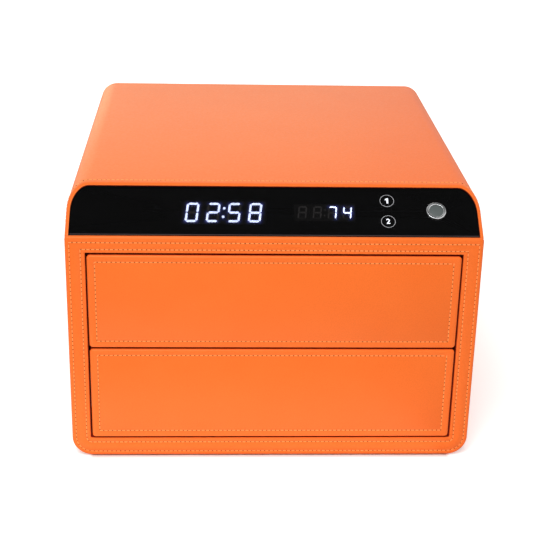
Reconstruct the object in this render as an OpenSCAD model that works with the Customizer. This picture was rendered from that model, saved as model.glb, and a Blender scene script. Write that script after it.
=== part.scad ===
// Biometric jewelry safe with two drawers and a sloped glass control panel.
// Millimetres. Z up, front towards -Y, X to the right seen from the front.
// The origin lies under the middle of the whole box, at floor level.

/* [Body] */
// Width over the leather
overall_w = 350; // [320:1:420]
// Depth from the drawer faces to the rear rim
overall_d = 395; // [360:1:440]
// Height from the floor to the top of the leather
overall_h = 239.8; // [228:0.1:262]
// Radius of the four long edges, outside
corner_r = 17.5; // [14:0.5:22]
// Leather skin around the steel tube
leather_t = 1; // [0.8:0.1:1.4]
// Wall of the steel tube
steel_t = 2; // [1.6:0.1:2.6]
// Height of the rubber feet
foot_h = 1; // [1:0.1:6]
// Diameter of a rubber foot
foot_d = 24; // [16:1:32]
// Foot centre from the side of the box
foot_side = 45; // [35:1:60]
// Foot centre from the front and rear of the box
foot_end = 42; // [35:1:60]
// Diameter of the two anchor holes in the base
anchor_d = 10; // [8:0.5:12]
// Distance between the anchor holes
anchor_pitch = 180; // [140:1:220]

/* [Front] */
// Leather frame around the drawers, thickness
frame_t = 3; // [2.5:0.1:4]
// Steel plate behind the leather frame
plate_t = 2; // [1.6:0.1:2.6]
// Side band of the frame
frame_side = 16.3; // [15:0.1:20]
// Bottom band of the frame
frame_bottom = 17.5; // [14:0.1:20]
// Top band of the frame
frame_top = 14.5; // [12:0.1:18]
// Rounding of the frame's two upper corners
frame_top_r = 3; // [2:0.5:5]
// Seen gap around the drawer fronts
drawer_gap = 1.6; // [1.2:0.1:2.4]
// Drawer faces stand before the frame by
front_proud = 1.5; // [0.5:0.1:2.5]
// Lower drawer front taller than the upper one by
lower_front_more = 0.6; // [0:0.1:8]
// Thickness of a drawer front
front_t = 14; // [11:0.5:18]
// Rounding of the drawer front corners
front_r = 3; // [1.5:0.5:5]

/* [Control panel] */
// Height of the sloped panel, measured upright
panel_rise = 32.3; // [31:0.1:38]
// Slope of the panel from the level
panel_tilt = 37; // [34:0.5:42]
// Thickness of the black glass
glass_t = 3; // [2.5:0.1:3.5]
// Glass lies below the leather rim by
glass_recess = 0.6; // [0.3:0.1:1]
// Gap around the glass
glass_gap = 0.3; // [0.2:0.1:0.6]
// Gap between the glass and the leather frame below it
glass_low_gap = 1.6; // [0.8:0.1:2]
// Width of the leather rim round the glass, measured on the slope
rim_w = 3.1; // [2.6:0.1:4]
// Plate of the plastic carrier behind the glass
carrier_t = 2.5; // [2:0.1:3.5]
// Thickness of the lit segments behind the glass
seg_t = 0.5; // [0.4:0.1:0.8]
// Depth of a display block
display_t = 7; // [6:0.5:9]
// Middle of the clock display from the middle of the box
clock_x = -43.3; // [-50:0.1:-38]
// Digit height of the clock
clock_digit_h = 19.2; // [17:0.1:20.5]
// Digit pitch of the clock
clock_pitch = 17.7; // [16:0.1:18]
// Middle of the climate display from the middle of the box
climate_x = 42.2; // [38:0.1:46]
// Digit height of the climate display
climate_digit_h = 12.6; // [11:0.1:14.2]
// Digit pitch of the climate display
climate_pitch = 12.7; // [12:0.1:14]
// Middle line of the clock up the slope
clock_v = 25.4; // [24:0.1:28]
// Middle line of the climate display up the slope
climate_v = 25.9; // [24:0.1:28]
// Width of a digit's bars as a share of the digit height
digit_bar = 0.095; // [0.08:0.005:0.13]
// Lean of the digits
digit_lean = 6; // [0:0.5:10]
// Touch keys from the right side of the box
key_side = 79.4; // [71:0.1:83]
// Middle between the two touch keys up the slope
key_mid_v = 27.6; // [26:0.1:30]
// Distance between the two touch keys
key_pitch = 21; // [18:0.1:24]
// Diameter of a touch pad
pad_d = 10; // [8:0.5:12]
// Fingerprint reader from the right side of the box
finger_side = 38.3; // [31:0.1:47]
// Fingerprint reader up the slope
finger_v = 26.5; // [24:0.1:28]
// Outer diameter of the fingerprint ring
finger_ring_d = 16.6; // [15.5:0.1:18]
// Diameter of the fingerprint sensor
finger_d = 12; // [10:0.1:12.4]
// Barrel of the fingerprint reader
finger_barrel_d = 14; // [13.4:0.1:14.6]
// Length of the touch board across the slope
touch_board_w = 184; // [182:1:190]
// Width of the touch board up the slope
touch_board_h = 40; // [38:0.5:42]
// Width of the main circuit board
main_board_w = 110; // [90:1:130]
// Depth of the main circuit board
main_board_d = 80; // [64:1:96]
// Main circuit board above the partition
main_board_rise = 6; // [4:0.5:9]
// Holes of the main circuit board from its edges
main_board_hole = 4; // [3.5:0.1:6]
// Side of the controller chip
chip_w = 16; // [10:1:20]
// Height of the controller chip
chip_h = 2; // [1:0.1:3]
// Length of the plug strip
plug_w = 24; // [16:1:32]
// Width of the plug strip
plug_d = 8; // [6:0.5:10]
// Height of the plug strip
plug_h = 7; // [5:0.5:9]
// Diameter of the capacitor
can_d = 12; // [8:0.5:16]
// Height of the capacitor
can_h = 8; // [6:0.5:12]
// Diameter of the board pillars
pillar_d = 6; // [5:0.1:7]

/* [Drawers] */
// Wall of a drawer tray
tray_t = 4; // [3:0.5:6]
// Floor of a drawer tray
tray_floor = 4; // [3:0.5:6]
// Tray floor above the lower edge of its front
tray_drop = 6; // [4:0.5:9]
// Tray rim below the upper edge of its front
tray_top_gap = 12; // [10:0.5:18]
// Soft lining thickness
lining_t = 2; // [1.5:0.1:3]
// Gap between lining and tray
lining_gap = 0.2; // [0.1:0.05:0.4]
// Long divider of the upper drawer from its front wall
upper_divider_y = 120; // [90:1:150]
// Long divider of the lower drawer from its front wall
lower_divider_y = 200; // [160:1:230]
// Free bay behind the drawer trays
rear_bay = 36; // [34:0.5:42]
// Screws reach into a drawer front by
front_screw_depth = 6; // [4:0.5:8]

/* [Runners] */
// Sheet of the telescopic runners
rail_t = 1.2; // [1:0.1:1.4]
// Height of the fixed runner
rail_h = 34; // [30:1:40]
// Depth of the runner set, wall to tray
rail_w = 12.2; // [11.5:0.1:14]
// Length of a runner
rail_len = 320; // [280:1:325]
// Running gap between runner members
rail_gap = 0.4; // [0.35:0.05:0.5]
// Sheet of the runner side brackets
bracket_t = 2; // [1.6:0.1:2.5]
// Flange of the runner side brackets
bracket_flange = 10; // [8:0.5:14]
// Partition plate above the drawers
partition_t = 1.5; // [1.2:0.1:2.5]
// Partition above the drawer opening
partition_gap = 3; // [2:0.5:4]

/* [Locks] */
// Travel of a lock bolt
bolt_travel = 10; // [8:0.5:11]
// Bolt thickness front to rear
bolt_w = 7; // [6:0.5:7.5]
// Bolt height
bolt_h = 8; // [7:0.5:9]
// Bolt middle above or below the key axis
bolt_offset = 20.5; // [20:0.5:21.5]
// Running gap of the bolt in its case
bolt_gap = 0.35; // [0.3:0.05:0.5]
// Sheet of the lock case
case_t = 2; // [1.6:0.1:2.4]
// Module of the rack teeth
rack_module = 0.8; // [0.7:0.05:0.85]
// Teeth of the pinion
pinion_teeth = 14; // [12:1:15]
// Pinion and rack thickness
pinion_h = 6; // [5:0.5:7]
// Pinion shaft diameter
shaft_d = 3; // [2.5:0.1:3.4]
// Running gap of shafts and pins, radial
shaft_gap = 0.06; // [0.04:0.01:0.1]
// Free play between rack and pinion teeth
backlash = 0.25; // [0.2:0.05:0.35]
// Diameter of the override key cylinder
key_body_d = 18; // [16:0.5:19]
// Diameter of the turning key plug
key_plug_d = 12; // [10:0.5:13]
// Reach of the override cam from the key axis
cam_reach = 8.5; // [7.5:0.1:8.8]
// Thickness of the override cam
cam_t = 4; // [3:0.5:4.5]
// Diameter of the ejector guide pins
ejector_pin_d = 6; // [5:0.5:7]
// Middle diameter of the ejector springs
ejector_spring_d = 9; // [8.5:0.1:11]
// Wire of the ejector springs
ejector_wire = 1.2; // [1:0.1:1.4]
// Ejectors from the middle of the box
ejector_x = 85; // [75:1:110]

/* [Rear] */
// Leather-covered rear board
back_cover_t = 3; // [2.6:0.1:4]
// Steel rear plate
rear_t = 2; // [1.6:0.1:3]
// Gap between the rear boards and the tube
rear_gap = 0.2; // [0.1:0.05:0.4]
// Battery diameter
cell_d = 14.2; // [14:0.1:14.4]
// Battery length
cell_len = 50; // [49:0.5:51]
// Wall of the battery box
box_t = 2; // [1.6:0.1:2.4]
// Thickness of the battery cover
cover_t = 2.6; // [2.2:0.1:2.6]
// Gap around the battery cover
cover_gap = 0.4; // [0.3:0.05:0.6]
// Cover hinge pin diameter
cover_pin_d = 1.8; // [1.4:0.1:2]
// Power inlet from the middle of the box
inlet_x = 110; // [90:1:130]
// Power inlet height from the partition
inlet_rise = 18; // [14:0.5:22]

/* [Hidden] */
half_w = overall_w / 2;
shell_t = leather_t + steel_t;
y_face = -overall_d / 2;
y_back = overall_d / 2;
y_frame = y_face + front_proud;
y_plate = y_frame + frame_t;
y_body = y_plate + plate_t;
z_floor = foot_h + shell_t;
z_open = foot_h + frame_bottom;
fronts_h = overall_h - panel_rise - frame_top - frame_bottom - foot_h - 3 * drawer_gap;
lower_front_h = (fronts_h + lower_front_more) / 2;
upper_front_h = fronts_h - lower_front_h;
z_lower = z_open + drawer_gap;
z_upper = z_lower + lower_front_h + drawer_gap;
z_open_top = z_upper + upper_front_h + drawer_gap;
z_panel = z_open_top + frame_top;
open_half = half_w - frame_side;
front_half = open_half - drawer_gap;
y_cover = y_back - leather_t - back_cover_t;
y_rear = y_cover - rear_t;
z_part = z_open_top + partition_gap;
z_bay = z_part + partition_t;
x_web = open_half + 0.8;
x_tray = x_web - rail_w;
y_tray = y_face + front_t;
y_tray_back = y_rear - rear_bay;
y_rail = y_tray + 0.8;
upper_tray_z = z_upper + tray_drop;
lower_tray_z = z_lower + tray_drop;
upper_tray_h = upper_front_h - tray_drop - tray_top_gap;
lower_tray_h = lower_front_h - tray_drop - tray_top_gap;
corner_steps = 10;
// Hairline between glued boards and between welded bars
seam = 0.05;
key_x = half_w - key_side;
finger_x = half_w - finger_side;
board_x = (clock_x + key_x) / 2;
board_v = (clock_v + climate_v) / 2 + 0.6;
// Depths below the rim of the sloped panel
n_glass_back = -glass_recess - glass_t;
n_carrier_back = n_glass_back - carrier_t;
n_display = n_glass_back - seg_t - 0.1;
n_board = n_display - display_t;
board_t = 1.6;
clock_digit_w = clock_digit_h * 0.56;
climate_digit_w = climate_digit_h * 0.58;
clock_block_w = 4 * clock_pitch + 2;
clock_block_h = clock_digit_h + 5;
climate_block_w = 4 * climate_pitch + 1;
climate_block_h = climate_digit_h + 4.8;
// Lock layout, measured from the key axis
z_key = z_upper - drawer_gap / 2;
pinion_r = rack_module * pinion_teeth / 2;
pinion_tip_r = pinion_r + rack_module;
y_pinion = y_rear - case_t - 0.8 - pinion_tip_r;
y_pitch = y_pinion - pinion_r;
y_bolt1 = y_pitch - 1.25 * rack_module;
y_bolt0 = y_bolt1 - bolt_w;
x_pinion = 26;
bolt_tip = -12;
bolt_tail = x_pinion + bolt_travel + 7;
lug_x = cam_reach;
lug_w = 5;
lug_y0 = y_bolt0 + 1;
lug_y1 = y_bolt1 - 1;
lug_z = 5.2;
cam_bore = 4.8;
case_x0 = bolt_tip + 3;
case_x1 = bolt_tail + 3;
case_half = bolt_h / 2 + bolt_gap;
flange_rise = 8;
ear_x0 = bolt_tip - 5;
ear_x1 = bolt_tip - 2;
y_cam = (lug_y0 + lug_y1) / 2 - cam_t / 2;
y_key_body = y_rear - 12;
motor_len = 24;
pressure_angle = 25;
// Battery bay on the rear
cell_x = cell_len / 2 + 1;
box_half = cell_len + 2 + box_t;
box_h = 2 * cell_d + 0.6 + 2 * box_t;
box_depth = cell_d + 0.8 + box_t;
z_box = z_bay + 0.5;
cover_half = box_half - box_t + 1;
cover_r = cover_t / 2;
y_cover_axis = y_back - leather_t - cover_r - 0.1;
z_cover0 = z_box + box_t - 1;
z_cover_axis = z_box + box_h - box_t + 1 - cover_r;
cover_pin_len = 2.5;
// Cam lock flange on the rear board
key_flange_d = key_body_d + 5;

// Shared shapes

// Quarter arc of points, counter-clockwise
function arc(cx, cz, r, a0) =
  [for (i = [0:corner_steps])
    let (a = a0 + 90 * i / corner_steps)
    [cx + r * cos(a), cz + r * sin(a)]];

// Rectangle with one radius below and another above
function soft_rect(x0, z0, x1, z1, r0, r1) = concat(
  arc(x0 + r0, z0 + r0, r0, 180),
  arc(x1 - r0, z0 + r0, r0, 270),
  arc(x1 - r1, z1 - r1, r1, 0),
  arc(x0 + r1, z1 - r1, r1, 90));

// Outline of the tube, moved inwards
function tube(inset) = soft_rect(
  -half_w + inset, foot_h + inset, half_w - inset, overall_h - inset, corner_r - inset, corner_r - inset);

// Outline of the front plate
function plate_outline() = soft_rect(
  -half_w + leather_t, foot_h + leather_t, half_w - leather_t, z_panel - 3, corner_r - leather_t, frame_top_r);

// Upper quarter of the case's outline on the slope, moved inwards
function slope_arc(cx, a0, inset) =
  [for (i = [0:corner_steps])
    let (
      a = a0 + 90 * i / corner_steps,
      steep = sin(panel_tilt),
      m = sqrt(pow(cos(a), 2) + pow(steep * sin(a), 2)))
    [
      cx + corner_r * cos(a) - inset * cos(a) / m,
      (panel_rise - corner_r + corner_r * sin(a)) / steep - inset * steep * sin(a) / m
    ]];

// Outline of the case on the slope from a place up it, moved inwards
function slope_outline(inset, low) = concat(
  [[-half_w + inset, low], [half_w - inset, low]],
  slope_arc(half_w - corner_r, 0, inset),
  slope_arc(corner_r - half_w, 90, inset));

// Flat shape in X and Z pulled along Y
module along_y(y0, y1) {
  translate([0, y1, 0])
    rotate([90, 0, 0])
      linear_extrude(y1 - y0)
        children();
}

// Block between two corners
module block(a, b) {
  translate(a)
    cube(b - a);
}

// Rod along Y
module rod_y(x, z, r, y0, y1) {
  translate([x, y0, z])
    rotate([-90, 0, 0])
      cylinder(r = r, h = y1 - y0, $fn = 48);
}

// Places things on the sloped panel: X across, Y up the slope, Z out of the glass
module on_panel() {
  translate([0, y_plate, z_panel])
    rotate([panel_tilt, 0, 0])
      children();
}

// Everything under the panel plane, at a depth along its normal
module under_panel(n) {
  on_panel()
    translate([-overall_w, -overall_d * 2, n - overall_h * 3])
      cube([2 * overall_w, overall_d * 4, overall_h * 3]);
}

// Lower lock is the upper one turned half round about the key axis
module lock_at(upper) {
  translate([0, 0, z_key])
    rotate([0, upper ? 0 : 180, 0])
      children();
}

// Outer case

// Leather skin glued round the tube, turned over its rear edge, with a filled rim round the glass
module leather_wrap() {
  color("#fd7636")
    difference() {
      intersection() {
        along_y(y_plate, y_back) polygon(tube(0));
        under_panel(0);
      }
      intersection() {
        along_y(y_plate - 1, y_back - leather_t) polygon(tube(leather_t));
        under_panel(n_glass_back);
      }
      intersection() {
        along_y(y_plate - 1, y_back + 1) polygon(tube(shell_t));
        under_panel(n_glass_back);
      }
      along_y(y_plate - 1, y_body) polygon(plate_outline());
      on_panel()
        translate([0, 0, n_glass_back - 1])
          linear_extrude(2 - n_glass_back)
            polygon(slope_outline(rim_w, -panel_rise));
      anchor_holes();
    }
}

// Bent and welded steel tube; the glass lies on its sloped end
module steel_body() {
  color("#8d9095")
    difference() {
      intersection() {
        along_y(y_body, y_back - leather_t) polygon(tube(leather_t));
        under_panel(n_glass_back);
      }
      along_y(y_body - 1, y_back) polygon(tube(shell_t));
      anchor_holes();
    }
}

module anchor_holes() {
  for (s = [-1, 1])
    translate([s * anchor_pitch / 2, 0, foot_h - 1])
      cylinder(d = anchor_d, h = shell_t + 2, $fn = 48);
}

// Holes shared by the rear plate and the rear board
module rear_holes(extra) {
  rod_y(0, z_key, key_body_d / 2 + 0.2, y_rear - 1, y_back);
  block(
    [inlet_x - 5.2, y_rear - 1, z_bay + inlet_rise - 6.2],
    [inlet_x + 5.2, y_back, z_bay + inlet_rise + 6.2]);
  block([-box_half - extra, y_rear - 1, z_box - extra], [box_half + extra, y_cover, z_box + box_h + extra]);
}

module rear_plate() {
  color("#8d9095")
    difference() {
      along_y(y_rear, y_cover) polygon(tube(shell_t + rear_gap));
      rear_holes(0.3);
    }
}

// Leather-covered rear board with the battery opening
module back_cover() {
  color("#f0702f")
    difference() {
      along_y(y_cover, y_back - leather_t) polygon(tube(shell_t + rear_gap));
      rear_holes(0);
      block([-cover_half - cover_gap, y_cover - 1, z_cover0 - cover_gap],
            [cover_half + cover_gap, y_back, z_cover_axis + cover_r + cover_gap]);
      translate([-cover_half - cover_gap - cover_pin_len, y_cover_axis, z_cover_axis])
        rotate([0, 90, 0])
          cylinder(
            d = cover_pin_d + 2 * shaft_gap,
            h = 2 * (cover_half + cover_gap + cover_pin_len), $fn = 32);
      for (p = cover_screw_places())
        rod_y(p[0], p[1], 2.1, y_cover - 1, y_back);
    }
}

function cover_screw_places() = [
  for (x = [-1, 1], z = [0, 1])
    [x * (half_w - corner_r - 8), z == 0 ? foot_h + corner_r + 8 : overall_h - corner_r - 8]];

// Steel plate behind the leather frame, welded to the tube
module front_plate() {
  color("#8d9095")
    difference() {
      along_y(y_plate, y_body) polygon(plate_outline());
      block([-open_half - 0.3, y_plate - 1, z_open - 0.3], [open_half + 0.3, y_body + 1, z_open_top + 0.3]);
    }
}

// Leather-covered frame round both drawers
module front_frame() {
  color("#fd7636")
    along_y(y_frame, y_plate)
      difference() {
        polygon(soft_rect(-half_w, foot_h, half_w, z_panel, corner_r, frame_top_r));
        polygon(soft_rect(-open_half, z_open, open_half, z_open_top, front_r, front_r));
      }
}

module rubber_feet() {
  color("#1d1d1f")
    for (x = [-1, 1], y = [-1, 1])
      translate([x * (half_w - foot_side), y * (overall_d / 2 - foot_end), 0])
        cylinder(d = foot_d, h = foot_h, $fn = 48);
}

// Plate between the drawers and the electronics
module partition_plate() {
  color("#8d9095")
    block([-half_w + shell_t + rear_gap, y_body, z_part], [half_w - shell_t - rear_gap, y_rear, z_bay]);
}

// Folded side plate that carries the runners
module runner_bracket() {
  lift = corner_r * 0.14;
  along_y(y_body, y_rear)
    polygon([
      [x_web - bracket_flange, z_floor],
      [min(x_web - 1, half_w - corner_r - 0.3), z_floor],
      [x_web + bracket_t, z_floor + lift],
      [x_web + bracket_t, z_part],
      [x_web - bracket_flange, z_part],
      [x_web - bracket_flange, z_part - bracket_t],
      [x_web, z_part - bracket_t],
      [x_web, z_floor + bracket_t + lift],
      [x_web - 2, z_floor + bracket_t],
      [x_web - bracket_flange, z_floor + bracket_t]]);
}

module left_runner_bracket() {
  color("#8d9095")
    mirror([1, 0, 0])
      runner_bracket();
}

module right_runner_bracket() {
  color("#8d9095")
    runner_bracket();
}

// Control panel

module glass_panel() {
  color("#0b0b0d")
    difference() {
      on_panel()
        translate([0, 0, n_glass_back])
          linear_extrude(glass_t)
            polygon(slope_outline(rim_w + glass_gap, glass_low_gap));
      on_panel()
        translate([finger_x, finger_v, n_glass_back - 1])
          cylinder(d = finger_barrel_d + 0.4, h = glass_t + 2, $fn = 48);
    }
}

// Upright place of a touch key on the slope
function key_v(i) = key_mid_v + (i == 0 ? 1 : -1) * key_pitch / 2;

// Black carrier with windows for the displays, keys and reader
module panel_carrier() {
  color("#141416")
    difference() {
      union() {
        intersection() {
          along_y(y_plate, y_back) polygon(tube(shell_t + glass_gap));
          on_panel()
            translate([-half_w, 3, n_carrier_back])
              cube([overall_w, overall_d, carrier_t]);
        }
        block([-open_half, y_plate + 6, z_bay], [open_half, y_plate + 9, z_panel - 0.6]);
        on_panel()
          for (x = [-1, 1], v = [-1, 1])
            translate([
                board_x + x * (touch_board_w / 2 - 4), board_v + v * (touch_board_h / 2 - 4), n_board])
              cylinder(d = 5, h = n_carrier_back - n_board + 0.5, $fn = 32);
      }
      on_panel() {
        panel_window(clock_x, clock_v, clock_block_w + 0.4, clock_block_h + 0.4);
        panel_window(climate_x, climate_v, climate_block_w + 0.4, climate_block_h + 0.4);
        for (i = [0, 1])
          translate([key_x, key_v(i), n_carrier_back - 1])
            cylinder(d = pad_d + 0.5, h = carrier_t + 2, $fn = 48);
        translate([finger_x, finger_v, n_carrier_back - 1])
          cylinder(d = finger_barrel_d + 0.4, h = carrier_t + 2, $fn = 48);
      }
    }
}

module panel_window(x, v, w, h) {
  translate([x - w / 2, v - h / 2, n_carrier_back - 1])
    cube([w, h, carrier_t + 2]);
}

module display_block(x, v, w, h) {
  on_panel()
    translate([x - w / 2, v - h / 2, n_board])
      cube([w, h, display_t]);
}

module clock_display() {
  color("#232326")
    display_block(clock_x, clock_v, clock_block_w, clock_block_h);
}

module climate_display() {
  color("#232326")
    display_block(climate_x, climate_v, climate_block_w, climate_block_h);
}

// One point of a leaning digit
function lean(p) = [p[0] + p[1] * tan(digit_lean), p[1]];

// Level bar of a digit with pointed ends
function bar_level(x0, x1, y, t) = [
  [x0, y], [x0 + t / 2, y + t / 2], [x1 - t / 2, y + t / 2],
  [x1, y], [x1 - t / 2, y - t / 2], [x0 + t / 2, y - t / 2]];

// Upright bar of a digit with pointed ends
function bar_upright(x, y0, y1, t) = [
  [x, y0], [x + t / 2, y0 + t / 2], [x + t / 2, y1 - t / 2],
  [x, y1], [x - t / 2, y1 - t / 2], [x - t / 2, y0 + t / 2]];

// Seven bars of a digit, about its middle
module digit(w, h, t) {
  a = w / 2 - t / 2;
  b = h / 2 - t / 2;
  g = t * 0.2;
  bars = [
    bar_level(-a + g, a - g, b, t), bar_level(-a + g, a - g, 0, t), bar_level(-a + g, a - g, -b, t),
    bar_upright(-a, g, b - g, t), bar_upright(a, g, b - g, t),
    bar_upright(-a, -b + g, -g, t), bar_upright(a, -b + g, -g, t)];
  for (s = bars)
    linear_extrude(seg_t)
      polygon([for (p = s) lean(p)]);
}

module four_digits(x, v, pitch, w, h, t) {
  on_panel()
    translate([x, v, n_display])
      for (i = [0:3])
        translate([(i - 1.5) * pitch, 0, 0])
          digit(w, h, t);
}

module clock_segments() {
  color("#eef3ff") {
    four_digits(clock_x, clock_v, clock_pitch, clock_digit_w, clock_digit_h, clock_digit_h * digit_bar);
    on_panel()
      for (s = [-1, 1])
        translate([clock_x + s * 4.3 * tan(digit_lean), clock_v + s * 4.3, n_display])
          cylinder(d = 2.2, h = seg_t, $fn = 24);
  }
}

module climate_segments() {
  color("#eef3ff") {
    four_digits(climate_x, climate_v, climate_pitch, climate_digit_w, climate_digit_h,
      climate_digit_h * digit_bar);
    on_panel()
      for (s = [-1, 1])
        translate([climate_x + s * 2.8 * tan(digit_lean), climate_v + s * 2.8, n_display])
          cylinder(d = 1.4, h = seg_t, $fn = 24);
  }
}

// Circuit board that carries both displays and the touch pads
module touch_board() {
  color("#1f4a33")
    on_panel()
      translate([board_x - touch_board_w / 2, board_v - touch_board_h / 2, n_board - board_t])
        cube([touch_board_w, touch_board_h, board_t]);
}

module touch_pads() {
  color("#3a3a3e")
    on_panel()
      for (i = [0, 1])
        translate([key_x, key_v(i), n_board])
          cylinder(d = pad_d, h = n_glass_back - n_board, $fn = 48);
}

// Metal ring and barrel of the fingerprint reader
module fingerprint_bezel() {
  color("#c9ccd0")
    on_panel()
      translate([finger_x, finger_v, 0])
        difference() {
          union() {
            translate([0, 0, -glass_recess])
              cylinder(d = finger_ring_d, h = 1.4, $fn = 64);
            translate([0, 0, n_carrier_back - 9])
              cylinder(d = finger_barrel_d, h = 9 - n_carrier_back, $fn = 64);
          }
          translate([0, 0, n_carrier_back - 10])
            cylinder(d = finger_d + 0.1, h = 20 - n_carrier_back, $fn = 64);
        }
}

module fingerprint_sensor() {
  color("#5f6766")
    on_panel()
      translate([finger_x, finger_v, n_carrier_back - 7])
        cylinder(d = finger_d, h = 7 - n_carrier_back + 0.1, $fn = 64);
}

module fingerprint_nut() {
  color("#9a9da2")
    on_panel()
      translate([finger_x, finger_v, n_carrier_back - 3])
        difference() {
          cylinder(d = finger_barrel_d + 6, h = 3, $fn = 6);
          translate([0, 0, -1])
            cylinder(d = finger_barrel_d + 0.1, h = 5, $fn = 64);
        }
}

// Electronics behind the panel

// Main circuit board with its larger parts
module main_board() {
  color("#1f4a33")
    translate([0, 0, z_bay + main_board_rise])
      difference() {
        union() {
          translate([-main_board_w / 2, -main_board_d / 2, 0])
            cube([main_board_w, main_board_d, board_t]);
          translate([-chip_w, -chip_w / 2, board_t - 0.2])
            cube([chip_w, chip_w, chip_h]);
          translate([-main_board_w / 2 + plug_d, -main_board_d / 2 + plug_d, board_t - 0.2])
            cube([plug_w, plug_d, plug_h]);
          translate([main_board_w / 4, main_board_d / 8, board_t - 0.2])
            cylinder(d = can_d, h = can_h, $fn = 48);
        }
        for (p = board_hole_places())
          translate([p[0], p[1], -1])
            cylinder(d = 3.1, h = board_t + 2, $fn = 24);
      }
}

function board_hole_places() = [
  for (x = [-1, 1], y = [-1, 1])
    [x * (main_board_w / 2 - main_board_hole), y * (main_board_d / 2 - main_board_hole)]];

// Stepped pillars, pressed into the partition and through the board
module board_standoffs() {
  color("#b9a25a")
    for (p = board_hole_places())
      translate([p[0], p[1], z_bay]) {
        cylinder(d = pillar_d, h = main_board_rise, $fn = 32);
        cylinder(d = 3, h = main_board_rise + board_t + 0.5, $fn = 32);
      }
}

// Battery box, open to the rear
module battery_box() {
  color("#1a1a1c")
    difference() {
      block([-box_half, y_cover - box_depth, z_box], [box_half, y_cover, z_box + box_h]);
      block([-box_half + box_t, y_cover - box_depth + box_t, z_box + box_t],
            [box_half - box_t, y_cover + 1, z_box + box_h - box_t]);
    }
}

module battery_cells() {
  color("#3a6fa8")
    for (x = [-1, 1], z = [0, 1])
      translate([
          x * cell_x, y_cover - cell_d / 2 - 0.5, z_box + box_t + 0.1 + cell_d / 2 + z * (cell_d + 0.3)])
        rotate([0, 90, 0])
          translate([0, 0, -cell_len / 2]) {
            cylinder(d = cell_d, h = cell_len - 1.5, $fn = 48);
            cylinder(d = 5.4, h = cell_len, $fn = 32);
          }
}

// Snap cover that swings up on two pins
module battery_cover() {
  color("#1a1a1c") {
    difference() {
      union() {
        block(
          [-cover_half, y_cover_axis - cover_r, z_cover0],
          [cover_half, y_cover_axis + cover_r, z_cover_axis]);
        translate([-cover_half, y_cover_axis, z_cover_axis])
          rotate([0, 90, 0])
            cylinder(r = cover_r, h = 2 * cover_half, $fn = 32);
        translate([-cover_half - cover_gap - cover_pin_len + 0.4, y_cover_axis, z_cover_axis])
          rotate([0, 90, 0])
            cylinder(d = cover_pin_d, h = 2 * (cover_half + cover_gap + cover_pin_len - 0.4), $fn = 32);
      }
      block([-9, y_cover_axis, z_cover0 - 1], [9, y_cover_axis + cover_r + 1, z_cover0 + 4]);
    }
  }
}

module dc_inlet() {
  color("#1a1a1c")
    translate([inlet_x, y_back - leather_t, z_bay + inlet_rise]) {
      difference() {
        block([-5, -14, -6], [5, 0, 6]);
        rotate([90, 0, 0])
          translate([0, 0, -1])
            cylinder(d = 5.8, h = 10, $fn = 32);
      }
      rotate([90, 0, 0])
        translate([0, 0, 1])
          cylinder(d = 2, h = 9, $fn = 24);
    }
}

// Locks

// Tube-shaped case on the rear plate, with a mounting flange
module lock_case() {
  difference() {
    union() {
      block([case_x0, y_bolt0 - bolt_gap - case_t, bolt_offset - case_half - case_t],
            [case_x1, y_rear, bolt_offset + case_half + case_t]);
      block([case_x0, y_rear - case_t, bolt_offset],
            [case_x1, y_rear, bolt_offset + case_half + case_t + flange_rise]);
    }
    block([case_x0 - 1, y_bolt0 - bolt_gap, bolt_offset - case_half],
          [case_x1 + 1, y_rear - case_t, bolt_offset + case_half]);
    block([lug_x - bolt_travel - 0.6, lug_y0 - 0.5, bolt_offset - case_half - case_t - 1],
          [lug_x + lug_w + 0.6, lug_y1 + 0.5, bolt_offset]);
    translate([x_pinion, y_pinion, 0])
      cylinder(d = shaft_d + 2 * shaft_gap, h = bolt_offset + motor_len, $fn = 48);
    for (x = lock_screw_places())
      rod_y(x, lock_screw_z(), 1.6, y_rear - case_t - 1, y_rear + 1);
  }
}

function lock_screw_places() = [case_x0 + 5, case_x1 - 5];
function lock_screw_z() = bolt_offset + case_half + case_t + flange_rise / 2;

module upper_lock_case() {
  color("#a9adb2")
    lock_at(true)
      lock_case();
}

module lower_lock_case() {
  color("#a9adb2")
    lock_at(false)
      lock_case();
}

// Small gear motor standing on the case
module lock_motor() {
  z0 = bolt_offset + case_half + case_t;
  difference() {
    union() {
      block([x_pinion - 6, y_pinion - 5, z0], [x_pinion + 6, y_pinion + 5, z0 + 9]);
      intersection() {
        translate([x_pinion, y_pinion, z0 + 8.5])
          cylinder(d = 12, h = motor_len - 8.5, $fn = 48);
        block([x_pinion - 7, y_pinion - 5, z0], [x_pinion + 7, y_pinion + 5, z0 + motor_len]);
      }
    }
    translate([x_pinion, y_pinion, z0 - 1])
      cylinder(d = shaft_d + 2 * shaft_gap, h = 8, $fn = 48);
  }
}

module upper_lock_motor() {
  color("#c6b88a")
    lock_at(true)
      lock_motor();
}

module lower_lock_motor() {
  color("#c6b88a")
    lock_at(false)
      lock_motor();
}

// Involute flank: distance from the axis and turn at each step
base_r = pinion_r * cos(pressure_angle);
function roll_to(r) = sqrt(pow(max(r / base_r, 1), 2) - 1) * 180 / PI;
function involute(r) = roll_to(r) - acos(min(base_r / r, 1));
function tooth_half(r) =
  (90 - backlash / rack_module * 28) / pinion_teeth + involute(pinion_r) - involute(r);
flank_steps = 5;
root_r = pinion_r - 1.2 * rack_module;
function flank_r(i) = root_r + (pinion_tip_r - root_r) * i / flank_steps;

// Outline of the pinion, with a tooth pointing along -Y
function pinion_outline() = [
  for (k = [0:pinion_teeth - 1], i = [0:2 * flank_steps + 1])
    let (j = i <= flank_steps ? i : 2 * flank_steps + 1 - i)
    let (s = i <= flank_steps ? -1 : 1)
    let (a = -90 + 360 * k / pinion_teeth + s * tooth_half(flank_r(j)))
    [flank_r(j) * cos(a), flank_r(j) * sin(a)]];

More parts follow.
